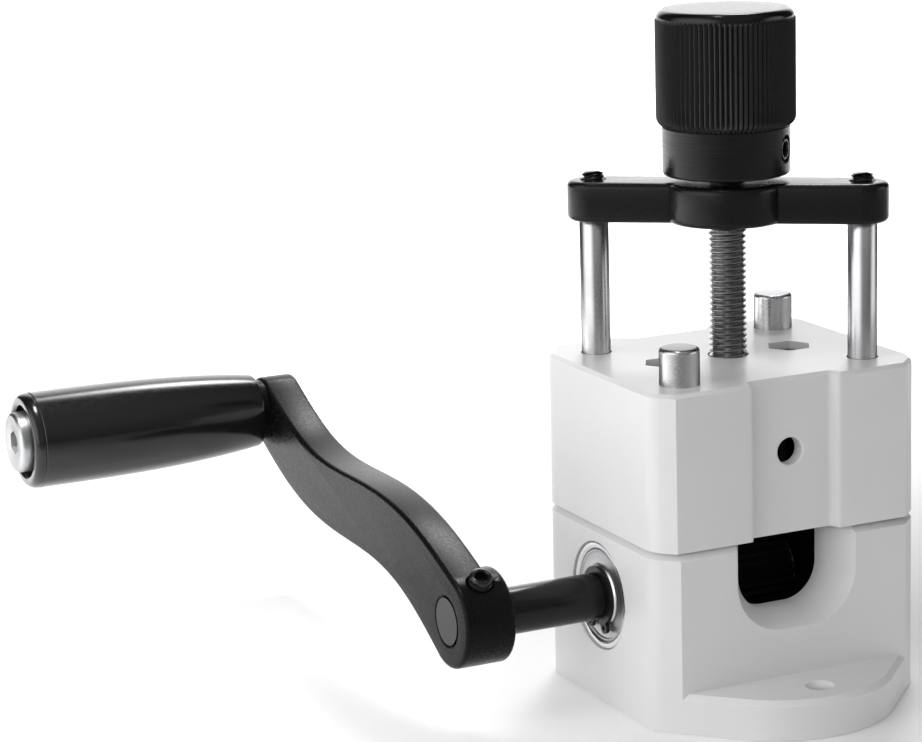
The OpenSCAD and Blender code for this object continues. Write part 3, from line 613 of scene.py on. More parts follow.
class Finishes:
    """Every finish of the machine, made once and handed out by name."""

    block = Moulded("block_grey", (0.72, 0.72, 0.72), 0.36, 1100.0, 0.006, 0.012, 0.1, 0.15)
    # Painted highlight: a lighter, glossier grey for the rounded block edges, standing in for the light they
    # catch.
    painted_edge_highlight = Moulded("block_grey_painted_highlight", (0.93, 0.93, 0.93), 0.3, 1100.0, 0.006, 0.02, 0.3, 0.3)
    # Painted shade: near-black for the chamber, the wire passages, the blade cavity and the upper block's
    # underside and lower bevel, where shade falls.
    inside = Moulded("painted_shade_black", (0.002, 0.002, 0.002), 0.7, 900.0, 0.01, 0.1, 0.0, 0.02)
    # Painted shade: mid grey on the walls of the fixing holes in the feet, where shade falls.
    bore = Moulded("fixing_hole_painted_shade", (0.2, 0.2, 0.2), 0.5, 900.0, 0.01, 0.1, 0.0, 0.1)
    black_coat = Moulded("satin_black_coat", (0.005, 0.005, 0.0055), 0.24, 1500.0, 0.005, 0.12, 0.0, 0.22)
    arm = Moulded("arm_black_coat", (0.005, 0.005, 0.0055), 0.28, 1500.0, 0.0005, 0.12, 0.0, 0.09)
    grip = Moulded("grip_black", (0.005, 0.005, 0.0055), 0.18, 700.0, 0.002, 0.1, 0.0, 0.5)
    flutes = Moulded("knob_black_anodised", (0.004, 0.004, 0.0045), 0.16, 900.0, 0.004, 0.1, 0.0, 0.28)
    collar = Turned("collar_black_turned", (0.005, 0.005, 0.0055), 0.24, Axis.Z, metallic=0.0, pitch=0.35,
                    height=0.02, spread=0.1, level=0.22)
    ground = Turned("ground_steel", (0.47, 0.47, 0.48), 0.25, Axis.Z, pitch=0.2, height=0.0012, rim=0.1)
    ground_end = Turned("ground_steel_end", (0.3, 0.3, 0.31), 0.4, Axis.Z, pitch=0.3, height=0.01)
    ground_x = Turned("ground_steel_x", (0.5, 0.5, 0.51), 0.26, Axis.X, SHAFT, pitch=0.2, height=0.006)
    # The roller's own black, made darker and duller still: partly painted shade for the wire mouth.
    roller = Moulded("roller_black_painted_shade", (0.003, 0.003, 0.003), 0.5, 1200.0, 0.01, 0.2, 0.0, 0.05)
    dark = Moulded("black_oxide", (0.014, 0.014, 0.0145), 0.28, 1200.0, 0.01, 0.2, 0.0, 0.35)
    gloss = Moulded("gloss_black_steel", (0.008, 0.008, 0.0085), 0.16, 900.0, 0.006, 0.2, 0.0, 0.4)
    shaft = Moulded("black_oxide_shaft", (0.006, 0.006, 0.0065), 0.22, 800.0, 0.004, 0.15, 0.0, 0.28)
    thread = Turned("thread_steel", (0.26, 0.26, 0.265), 0.22, Axis.Z, pitch=0.2, height=0.001)
    bearing = Turned("bearing_steel", (0.6, 0.6, 0.61), 0.24, Axis.X, SHAFT, pitch=0.35, height=0.008)
    shield = Turned("bearing_shield", (0.42, 0.42, 0.43), 0.36, Axis.X, SHAFT, pitch=0.5, height=0.01)
    clip = Moulded("spring_clip", (0.006, 0.006, 0.0065), 0.34, 900.0, 0.006, 0.2, 0.0, 0.3)
    zinc = Turned("zinc_plated", (0.45, 0.455, 0.46), 0.32, Axis.X, HANDLE, pitch=0.4, height=0.01, rim=0.4)
    blade = Turned("blade_steel", (0.5, 0.51, 0.53), 0.2, Axis.X, BLADE, pitch=0.3, height=0.01)
    bronze = Turned("turned_bronze", (0.62, 0.4, 0.17), 0.3, Axis.X, BLADE, pitch=0.4, height=0.01)

    def __init__(self) -> None:
        """Starts with no material made."""
        self.made: dict[str, bpy.types.Material] = {}

    def give(self, item: bpy.types.Object, finish: Finish) -> None:
        """Adds a finish to those that a piece has."""
        if finish.name not in self.made:
            self.made[finish.name] = finish.material()
        item.data.materials.append(self.made[finish.name])

    def dress(self, item: bpy.types.Object, finish: Finish) -> None:
        """Gives a piece one finish all over."""
        item.data.materials.clear()
        self.give(item, finish)

    def hand_over(self, item: bpy.types.Object, node: str, body: str, finish: Finish) -> None:
        """Dresses a piece and puts it in its node's place.

        Args:
            item: The piece.
            node: The node that it stands for.
            body: The body that it rides on.
            finish: Its finish.
        """
        self.dress(item, finish)
        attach(item, body)
        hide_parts(node)
        log.info("%s stands for %s", item.name, node)

    def paint(self, item: bpy.types.Object, finish: Finish, test: Test) -> None:
        """Gives some faces of a dressed piece a second finish.

        Args:
            item: The piece.
            finish: The second finish.
            test: Says of one face whether it is wanted.
        """
        self.give(item, finish)
        with Bench.editing(item):
            Bench.select("FACE", test)
            item.active_material_index = len(item.data.materials) - 1
            bpy.ops.object.material_slot_assign()


@dataclass
class Blocks:
    """The base block and the sliding upper block."""

    width: float = 77.0
    depth: float = 66.0
    base_top: float = 45.5
    upper_low: float = 46.1
    upper_top: float = 85.8
    cuts: Pair = (65.0, 66.0)
    upper_cuts: Pair = (65.0, 66.8)
    nose_y: float = 53.0
    corner_r: float = 8.0
    foot_h: float = 10.0
    foot_chamfer: float = 1.3
    edge: float = 1.4
    upper_edge: float = 0.9
    foot_hole_y: float = 43.3
    foot_hole_r: float = 3.3
    channel_half: float = 12.0
    channel_depth: float = 3.0
    channel_fillet: float = 1.5
    channel_round: float = 1.2
    sight_r: float = 3.5
    sight_z: float = 66.8
    mouth_half: float = 12.7
    mouth_floor: float = 25.5
    mouth_r: float = 9.4
    flare: float = 4.4
    flare_drop: float = 3.3
    flare_depth: float = 7.3
    chamber_half: float = 14.0
    chamber_y: float = 15.8
    chamber_floor: float = 12.0
    shaft_z: float = 27.7
    bearing_r: float = 14.03
    bearing_back: float = 30.1
    shaft_hole_r: float = 9.0
    post: Pair = (27.0, -20.6)
    post_r: float = 3.73
    pin: Pair = (26.7, 22.3)
    pin_r: float = 5.03
    nut_r: float = 5.95
    nut_x: float = 18.0
    cavity_x: float = 19.0
    cavity_y: float = 26.3
    cavity_top: float = 75.8
    pocket: Pair = (25.1, 13.4)
    screw_hole_r: float = 5.25
    sink_r: float = 4.65
    sink_top: float = 5.4
    # Where the painted shade in the wire passages begins along Y, and how far out along X it reaches in the
    # blade cavity.
    painted_shade_from: float = 20.7
    painted_shade_x: float = 26.0
    edge_strip: float = 0.32
    seam: float = 0.5
    chamfer_in: float = 0.4
    foot_hole_chamfer: float = 0.8
    sight_chamfer: float = 0.7
    sight_deep: float = 6.0
    shaft_hole_half: float = 31.0
    inner_round: float = 1.5
    nut_deep: float = 7.0
    nut_bolt_r: float = 3.4
    post_slide: float = 0.22
    pin_slide: float = 0.03
    seat: float = 12.0
    nose_root: float = 4.0
    near: float = 0.1

    def corner(self, sx: int, sy: int, start: float, reach: float) -> list[Pair]:
        """Gives the round corner between a side and a 45 degree cut.

        Args:
            sx: The corner's sign along X.
            sy: Its sign along Y.
            start: The arc's first angle, in degrees.
            reach: How far out the cut lies: the sum of its X and Y.

        Returns:
            The arc's points.
        """
        x = self.width / 2 - self.corner_r
        y = reach - self.corner_r * math.sqrt(2) - x
        return arc((sx * x, sy * y), self.corner_r, start, start + 45, 8)

    def outline(self, channels: bool) -> list[Pair]:
        """Gives the blocks' plan.

        Args:
            channels: Whether the front and back face carry the channel.

        Returns:
            The outline's points, anticlockwise.
        """
        face = self.depth / 2
        right, left = self.upper_cuts if channels else self.cuts
        half, deep = self.channel_half, face - self.channel_depth
        fillet, rnd = self.channel_fillet, self.channel_round
        back = []
        if channels:
            back = (arc((half + rnd, face - rnd), rnd, 90, 180, 5)
                    + arc((half - fillet, deep + fillet), fillet, 0, -90, 5)
                    + arc((-half + fillet, deep + fillet), fillet, -90, -180, 5)
                    + arc((-half - rnd, face - rnd), rnd, 0, 90, 5))
        front = [(-x, -y) for x, y in back]
        return (self.corner(1, 1, 0, left) + [(left - face, face)] + back + [(face - right, face)]
                + self.corner(-1, 1, 135, right) + self.corner(-1, -1, 180, left)
                + [(face - left, -face)] + front + [(right - face, -face)] + self.corner(1, -1, 315, right))

    def mouth(self, wider: float, drop: float) -> list[Pair]:
        """Gives the wire mouth's outline in the front plane.

        Args:
            wider: How much wider each side is than the passage.
            drop: How much lower the floor is than the passage's.

        Returns:
            The outline's points.
        """
        r = self.mouth_r + (wider + drop) / 2
        half, low, rim = self.mouth_half + wider, self.mouth_floor - drop, self.base_top - self.edge
        lead = self.edge + 1.0
        right = arc((half - r, low + r), r, -90, 0, 14) + arc((half + lead, rim), lead, 180, 125, 4)
        return right + [(-x, z) for x, z in reversed(right)]

    def mouth_cutter(self, way: int) -> bpy.types.Object:
        """Makes the funnel and the passage as one cutter.

        Args:
            way: -1 for the front, 1 for the back.

        Returns:
            The cutter.
        """
        face = self.depth / 2
        slope = 1 / self.flare_depth
        rings = [(face + 1, self.flare * (1 + slope), self.flare_drop * (1 + slope)),
                 (face - self.flare_depth, 0.0, 0.0), (self.chamber_y - 1, 0.0, 0.0)]
        loops = []
        for y, wider, drop in rings:
            points = [Plane.FRONT.place(pair, way * y) for pair in self.mouth(wider, drop)]
            loops.append(Bench.trace("mouth_ring", points))
            bpy.ops.mesh.edge_face_add()
            if 0.0 < self.chamber_y < y < face:
                bpy.ops.mesh.delete(type="ONLY_FACE")
            bpy.ops.object.mode_set(mode="OBJECT")
        body = Bench.join(*loops)
        levels = [way * ring[0] * MM for ring in rings]
        with Bench.editing(body):
            for near, far in zip(levels, levels[1:]):
                Bench.select("EDGE", lambda e: all(
                    min(abs(v.co.y - near), abs(v.co.y - far)) < 1e-5 for v in e.verts)
                    and abs(e.verts[0].co.y - e.verts[1].co.y) < 1e-6)
                bpy.ops.mesh.bridge_edge_loops()
            bpy.ops.mesh.select_all(action="SELECT")
            bpy.ops.mesh.normals_make_consistent(inside=False)
        return body

    def box_cutter(self, low: Point, high: Point, corner: float) -> bpy.types.Object:
        """Makes a box with rounded upright edges.

        Args:
            low: Its lowest corner.
            high: Its highest corner.
            corner: The radius of its upright edges.

        Returns:
            The cutter.
        """
        Bench.fresh()
        size = [b - a for a, b in zip(low, high)]
        bpy.ops.mesh.primitive_cube_add(size=1, location=mm(*[(a + b) / 2 for a, b in zip(low, high)]),
                                        scale=mm(*size))
        body = bpy.context.object
        bpy.ops.object.transform_apply(location=True, rotation=True, scale=True)
        Bench.round_edges(body, [lambda e: abs(e.verts[0].co.z - e.verts[1].co.z) > 1e-5], corner, 4)
        return body

    def rim(self, body: bpy.types.Object, height: float, width: float, reach: float = 0.0) -> None:
        """Cuts a flat chamfer along the top edge of a prism.

        Args:
            body: The prism.
            height: Its top.
            width: The chamfer's width.
            reach: Leaves alone what lies nearer the middle along Y than this.
        """
        at_top = on_level(2, height)
        Bench.round_edges(body, [lambda e: at_top(e) and max(abs(v.co.y) for v in e.verts) > reach * MM],
                          width, 1)

    def base(self) -> bpy.types.Object:
        """Builds the base block with its foot, mouths, chamber and bores.

        Known faults: a stray face closes the front fixing hole at the low end of its sink, and the
        wall of the back one has open edges.

        Returns:
            The block.
        """
        body = Bench.prism("base_block_body", self.outline(False), Plane.PLAN, 0.0, self.base_top)
        self.rim(body, self.base_top, self.edge)
        face = self.depth / 2
        right, left = self.cuts
        nose_r = ((right + left) / 2 - self.nose_y) / (math.sqrt(2) - 1)
        root = face - self.nose_root
        nose = [(right - face, root), (right - face, face)]
        nose += arc(((right - left) / 2, self.nose_y - nose_r), nose_r, 45, 135, 28)
        nose += [(face - left, face), (face - left, root)]
        for way in (-1, 1):
            foot = Bench.prism("foot", [(-way * x, way * y) for x, y in nose], Plane.PLAN, 0.0, self.foot_h)
            self.rim(foot, self.foot_h, self.foot_chamfer, face - 2)
            Bench.cut(body, foot, how=Join.ADD)
        Bench.clean(body)
        for way in (-1, 1):
            Bench.cut(body, self.mouth_cutter(way))
            spot = along_z(0, way * self.foot_hole_y)
            mouth_low, rise = self.foot_h - self.chamfer_in, self.foot_hole_chamfer
            Bench.cut(body, Bench.rod(self.foot_hole_r, spot, -1, self.foot_h + 1),
                      Bench.sink(self.foot_hole_r, mouth_low, rise, 64, spot))
            Bench.cut(body, Bench.rod(self.bearing_r, along_x(0, 0, self.shaft_z, way), self.bearing_back,
                                      self.width / 2 + 1, 96))
        Bench.cut(body, self.box_cutter((-self.chamber_half, -self.chamber_y, self.chamber_floor),
                                        (self.chamber_half, self.chamber_y, self.base_top + 2),
                                        self.inner_round))
        Bench.cut(body, Bench.rod(self.shaft_hole_r, along_x(0, 0, self.shaft_z), -self.shaft_hole_half,
                                  self.shaft_hole_half))
        for (x, y), radius in ((self.post, self.post_r), (self.pin, self.pin_r)):
            for way in (-1, 1):
                spot = along_z(way * x, way * y)
                Bench.cut(body, Bench.rod(radius, spot, self.seat, self.base_top + 1),
                          Bench.rod(self.sink_r, spot, -1, self.sink_top))
        Bench.clean(body, self.seam)
        # Splits the passage walls where the painted shade begins, so that it ends at a crisp edge.
        with Bench.editing(body):
            for way in (-1, 1):
                Bench.select("FACE", self.passage_face)
                bpy.ops.mesh.bisect(plane_co=mm(0, way * self.painted_shade_from, 0), plane_no=(0, 1, 0))
        return body

    def passage_face(self, face: object) -> bool:
        """Says whether a face belongs to a straight wire passage."""
        x, y, z = (abs(value) / MM for value in face.calc_center_median())
        return (x < self.mouth_half + self.near and self.mouth_floor - self.near < z < self.base_top
                and self.chamber_y < y < self.depth / 2 - self.flare_depth + self.near)

    def upper(self) -> bpy.types.Object:
        """Builds the upper block with its channels, pockets, bores and blade cavity."""
        body = Bench.prism("upper_block_body", self.outline(True), Plane.PLAN, self.upper_low, self.upper_top)
        self.rim(body, self.upper_top, self.upper_edge)
        low, top = self.upper_low - 1, self.upper_top + 1
        Bench.cut(body, self.box_cutter((-self.cavity_x, -self.cavity_y, low),
                                        (self.cavity_x, self.cavity_y, self.cavity_top), self.inner_round))
        x, y = self.pocket
        Bench.cut(body, self.box_cutter((-x, -y, low), (x, y, self.cavity_top), self.inner_round))
        Bench.cut(body, Bench.rod(self.screw_hole_r, along_z(0, 0), self.cavity_top - 1, top))
        for sx in (-1, 1):
            spot, nut_low = along_z(sx * self.nut_x, 0), self.upper_top - self.nut_deep
            Bench.cut(body, Bench.rod(self.nut_r, spot, nut_low, top, 6),
                      Bench.rod(self.nut_bolt_r, spot, self.cavity_top - 1, nut_low + 1))
            for (x, y), radius in ((self.post, self.post_r + self.post_slide),
                                   (self.pin, self.pin_r + self.pin_slide)):
                Bench.cut(body, Bench.rod(radius, along_z(sx * x, sx * y), low, top))
        sight, face = along_y(0, self.sight_z), self.depth / 2 - self.channel_depth
        Bench.cut(body, Bench.rod(self.sight_r, sight, face - self.sight_deep, face + 1),
                  Bench.sink(self.sight_r, face - self.chamfer_in, self.sight_chamfer, 64, sight))
        return Bench.clean(body, self.seam)

    def painted_shade_face(self, face: object) -> bool:
        """Says whether a face gets painted shade: it lies inside the machine or is the lower bevel of the
        upper block.
        """
        x, y, z = (abs(value) / MM for value in face.calc_center_median())
        near = self.near
        if z > self.upper_low - near:
            under = z < self.upper_low + 0.4 and face.normal.z < -0.3
            return under or (z < self.cavity_top + near and x < self.painted_shade_x and y < self.cavity_y + near)
        on_top = face.normal.z > 0.5 and z > self.base_top - 1
        return (x < self.chamber_half + near and y < self.painted_shade_from + near
                and z > self.chamber_floor - near and not on_top)

    def foot_hole_face(self, face: object) -> bool:
        """Says whether a face is the wall of a fixing hole, which gets painted shade."""
        x, y, z = (abs(value) / MM for value in face.calc_center_median())
        away = math.hypot(x, y - self.foot_hole_y)
        return away < self.foot_hole_r + self.near and abs(face.normal.z) < 0.5

    def build(self, finishes: Finishes) -> None:
        """Builds both blocks and dresses them."""
        for item, node, body in ((self.base(), "base_block", "base"),
                                 (self.upper(), "carriage_block", "carriage")):
            finishes.hand_over(item, node, body, finishes.block)
            # The softened edges get the lighter grey: a painted highlight along every rounding.
            finishes.give(item, finishes.painted_edge_highlight)
            Bench.soften(item, self.edge_strip, finish=1)
            # Painted shade on the walls of the fixing holes.
            finishes.paint(item, finishes.bore, self.foot_hole_face)
            # Painted shade inside the machine and along the gap under the upper block.
            finishes.paint(item, finishes.inside, self.painted_shade_face)


@dataclass
class Guides:
    """The bright posts that carry the yoke and the short pins beside them."""

    post: Pair = (27.0, -20.6)
    post_r: float = 3.7
    post_top: float = 125.4
    pin: Pair = (26.7, 22.3)
    pin_r: float = 5.0
    pin_top: float = 95.0
    pin_round: float = 1.0
    seat: float = 12.0
    chamfer: float = 0.4
    post_ring: float = 80.0
    pin_ring: float = 60.0

    def turned_pair(self, name: str, profile: list[Pair], place: Pair) -> bpy.types.Object:
        """Turns one profile at both places of a diagonal.

        Args:
            name: The piece's name.
            profile: Radius and height of each point.
            place: One of the two places; the other lies opposite.

        Returns:
            Both rods as one piece.
        """
        rods = [Bench.turn(name, profile, 96, along_z(way * place[0], way * place[1])) for way in (-1, 1)]
        return Bench.shade(Bench.join(*rods), 50.0)

    def build(self, finishes: Finishes) -> None:
        """Builds and dresses the posts and the pins."""
        c, r = self.chamfer, self.post_r
        posts = self.turned_pair("ground_posts", [
            (0, self.seat), (r - c, self.seat), (r, self.seat + c), (r, self.post_ring),
            (r, self.post_top - c), (r - c, self.post_top), (0, self.post_top)], self.post)
        r, soft = self.pin_r, self.pin_round
        shank = [(0, self.seat), (r - c, self.seat), (r, self.seat + c), (r, self.pin_ring)]
        crown = arc((r - soft, self.pin_top - soft), soft, 0, 90, 8) + [(0, self.pin_top)]
        pins = self.turned_pair("ground_pins", shank + crown, self.pin)
        for item, node in ((posts, "guide_posts"), (pins, "guide_pins")):
            finishes.hand_over(item, node, "base", finishes.ground)
            finishes.paint(item, finishes.ground_end, lambda f: abs(f.normal.z) > 0.95)


@dataclass
class Yoke:
    """The black bar on the posts, with the ends of the studs that hold it."""

    low: float = 120.4
    top: float = 130.6
    half: float = 6.6
    boss_r: float = 15.2
    edge: float = 1.5
    post: Pair = (27.0, -20.6)
    bore_r: float = 4.91
    stud_r: float = 2.9
    stud_top: float = 132.5
    stud_low: float = 116.0
    stud_pitch: float = 1.0
    stud_depth: float = 0.55
    stud_gap: float = 0.13
    sink_r: float = 3.0
    sink_in: float = 0.45
    sink_rise: float = 0.7
    seat_r: float = 3.73
    seat_deep: float = 5.0

    def outline(self) -> list[Pair]:
        """Gives the bar's plan: two round ends and a round middle."""
        length = math.hypot(*self.post)
        turn = math.atan2(self.post[1], self.post[0])
        meet = math.degrees(math.asin(self.half / self.boss_r))
        points = (arc((length, 0.0), self.half, -90, 90, 20)
                  + arc((0.0, 0.0), self.boss_r, meet, 180 - meet, 28)
                  + arc((-length, 0.0), self.half, 90, 270, 20)
                  + arc((0.0, 0.0), self.boss_r, 180 + meet, 360 - meet, 28))
        cos, sin = math.cos(turn), math.sin(turn)
        return [(u * cos - v * sin, u * sin + v * cos) for u, v in points]

    def bar(self) -> bpy.types.Object:
        """Builds the bar with rounded edges and its three bores."""
        body = Bench.prism("yoke_bar", self.outline(), Plane.PLAN, self.low, self.top)
        Bench.round_edges(body, [on_level(2, level) for level in (self.low, self.top)], self.edge, 5)
        Bench.cut(body, Bench.rod(self.bore_r, along_z(0, 0), self.low - 1, self.top + 1))
        for way in (-1, 1):
            spot = along_z(way * self.post[0], way * self.post[1])
            Bench.cut(body, Bench.rod(self.stud_r + self.stud_gap, spot, self.low - 1, self.top + 1),
                      Bench.sink(self.sink_r, self.top - self.sink_in, self.sink_rise, 48, spot),
                      Bench.rod(self.seat_r, spot, self.low - 1, self.low + self.seat_deep))
        return Bench.shade(body, 30.0)

    def studs(self) -> bpy.types.Object:
        """Builds both threaded stud ends."""
        ends = []
        r, top = self.stud_r, self.stud_top
        for way in (-1, 1):
            stud = Bench.thread("stud_ends", r, self.stud_depth, self.stud_pitch, self.stud_low, top,
                                steps=40)
            Bench.cut(stud, Bench.turn("blank", [(r - 0.6, top + 0.1), (r + 1, top + 0.1), (r + 1, top - 1.5),
                                                 (r - 0.6, top + 0.1)], 56))
            ends.append(Bench.set_down(stud, along_z(way * self.post[0], way * self.post[1])))
        return Bench.shade(Bench.join(*ends), 40.0)

    def build(self, finishes: Finishes) -> None:
        """Builds and dresses the bar and the studs."""
        for item, node, finish, slot in ((self.bar(), "yoke", finishes.black_coat, "black_cast"),
                                         (self.studs(), "yoke_studs", finishes.dark, "dark_steel")):
            finishes.hand_over(item, node, "base", finish)


@dataclass
class Knob:
    """The lift screw with its fluted knob."""

    collar_low: float = 132.4
    collar_r: float = 16.0
    collar_top: float = 144.3
    collar_round: float = 0.9
    top: float = 173.9
    grip_r: float = 17.5
    flutes: int = 84
    flute_depth: float = 0.5
    flute_top: float = 171.6
    heel_r: float = 2.7
    rim_r: float = 1.9
    rim_h: float = 2.1
    screw_r: float = 4.85
    thread_depth: float = 0.915
    pitch: float = 1.5
    thread_low: float = 76.8
    journal_r: float = 3.49
    journal_low: float = 68.7
    clip_low: float = 69.7
    set_r: float = 3.0
    set_turn: float = -51.0
    set_z: float = 139.06
    bore_top: float = 158.9
    screw_gap: float = 0.03
    screw_in: float = 20.0
    groove: float = 0.4
    groove_w: float = 1.06

    def grip(self) -> bpy.types.Object:
        """Turns the knob's shell and presses its flutes in."""
        low, r, heel = self.collar_top, self.grip_r, self.heel_r
        rim = self.grip_r - 0.35
        soft = self.collar_round
        rows = [(0.0, self.collar_low), (self.collar_r - soft, self.collar_low)]
        rows += arc((self.collar_r - soft, self.collar_low + soft), soft, -60, 0, 3)
        rows += [(self.collar_r, low - 4), (self.collar_r, low + 0.1)]
        rows += [(r - heel * 0.62, low + 0.1)] + arc((r - heel, low + 0.1 + heel), heel, -52, 0, 5)
        rows += [(r, low + 8), (r, low + 16), (r, self.flute_top - 0.7), (r, self.flute_top - 0.25)]
        rows += [(rim, self.flute_top + 0.05), (rim, self.top - self.rim_h)]
        rows += [(rim - self.rim_r * (1 - math.cos(t)), self.top - self.rim_h * (1 - math.sin(t)))
                 for t in [math.radians(9 * i) for i in range(1, 11)]]
        rows += [(9.0, self.top), (0.0, self.top)]
        columns = self.flutes * 6
        body = Bench.turn("fluted_knob", rows, columns)
        Bench.pick(body)
        bpy.ops.object.mode_set(mode="EDIT")
        inside, floor, roof = (r - heel) * MM, (low + 0.15) * MM, (self.flute_top - 0.2) * MM
        for share, turns in ((0.2, (1, 5)), (0.8, (2, 4)), (1.0, (3,))):
            def pressed(v: object) -> bool:
                """Says whether a point lies in this part of a flute."""
                if not floor < v.co.z < roof or v.co.xy.length < inside:
                    return False
                return round(math.atan2(v.co.y, v.co.x) / (2 * math.pi) * columns) % 6 in turns
            Bench.select("VERT", pressed)
            size = 1 - share * self.flute_depth / r
            bpy.ops.transform.resize(value=(size, size, 1), center_override=(0, 0, 0))
        bpy.ops.object.mode_set(mode="OBJECT")
        bore = Bench.rod(self.screw_r + self.screw_gap, along_z(0, 0), self.collar_low - 1, self.bore_top)
        Bench.cut(body, bore, self.set_hole())
        return Bench.shade(body, 38.0)

    def set_place(self) -> Matrix:
        """Gives the frame whose Z axis lies along the set screw, outwards."""
        place, turn = Matrix.Translation(mm(0, 0, self.set_z)), math.radians(self.set_turn)
        return place @ Matrix.Rotation(turn, 4, "Z") @ Matrix.Rotation(math.pi / 2, 4, "Y")

    def set_hole(self) -> bpy.types.Object:
        """Makes the cutter of the set screw's hole, with a chamfered mouth."""
        r, far = self.set_r + 0.05, self.collar_r
        end = far + 1.5
        profile = [(0, 3), (r, 3), (r, far - 0.85), (r + 0.55, far - 0.1), (r + 0.9, end), (0, end)]
        return Bench.turn("set_hole", profile, 48, self.set_place())

    def screw(self) -> bpy.types.Object:
        """Winds the lift screw's thread and turns its journal."""
        thread = Bench.thread("lift_thread", self.screw_r, self.thread_depth, self.pitch, self.thread_low,
                              self.collar_low + self.screw_in)
        r, low, clip = self.journal_r, self.journal_low, self.clip_low
        inner, clip_top, end = r - self.groove, clip + self.groove_w, self.thread_low + 1
        journal = Bench.turn("journal", [
            (0, low), (inner, low), (r, low + self.groove), (r, clip), (inner, clip), (inner, clip_top),
            (r, clip_top), (r, end), (0, end)], 64)
        return Bench.shade(Bench.join(thread, journal), 45.0)

    def build(self, finishes: Finishes) -> None:
        """Builds and dresses the knob, its set screw and the lift screw."""
        far = self.collar_r
        plug = SetScrew("knob_plug", self.set_r, 5.3, far - 0.3).build(self.set_place())
        grip = self.grip()
        for item, node, finish, slot in ((grip, "knob", finishes.flutes, "black_anodised"),
                                         (self.screw(), "lift_screw", finishes.thread, "dark_steel"),
                                         (plug, "knob_set_screw", finishes.gloss, "dark_steel")):
            finishes.hand_over(item, node, "screw", finish)
        finishes.paint(grip, finishes.collar, lambda f: not (self.collar_top + 0.1) * MM
                       < f.calc_center_median().z < (self.top - 0.05) * MM)


@dataclass
class SetScrew:
    """A headless screw with a hexagon socket and a chamfered end."""

    name: str
    radius: float
    low: float
    high: float
    socket_r: float = 1.95
    socket_depth: float = 2.6
    neck: float = 0.0

    def build(self, place: Matrix) -> bpy.types.Object:
        """Turns the screw and cuts its socket.

        Args:
            place: The frame whose Z axis it lies on, in metres.

        Returns:
            The screw.
        """
        r, top = self.radius, self.high
        profile = [(0, self.low), (r - 0.5, self.low), (r, self.low + 0.5)]
        if self.neck:
            neck = top - self.neck
            profile += [(r, neck - 0.5), (r - 0.45, neck - 0.2), (r - 0.45, neck), (r, neck + 0.3)]
        profile += arc((r - 0.7, top - 0.7), 0.7, 0, 90, 5)
        profile += [(self.socket_r + 0.25, top), (self.socket_r - 0.1, top - 0.35), (0, top - 0.35)]
        body = Bench.turn(self.name, profile, 64, place)
        Bench.cut(body, Bench.rod(self.socket_r, place, top - self.socket_depth, top + 1, 6))
        return Bench.shade(body, 40.0)


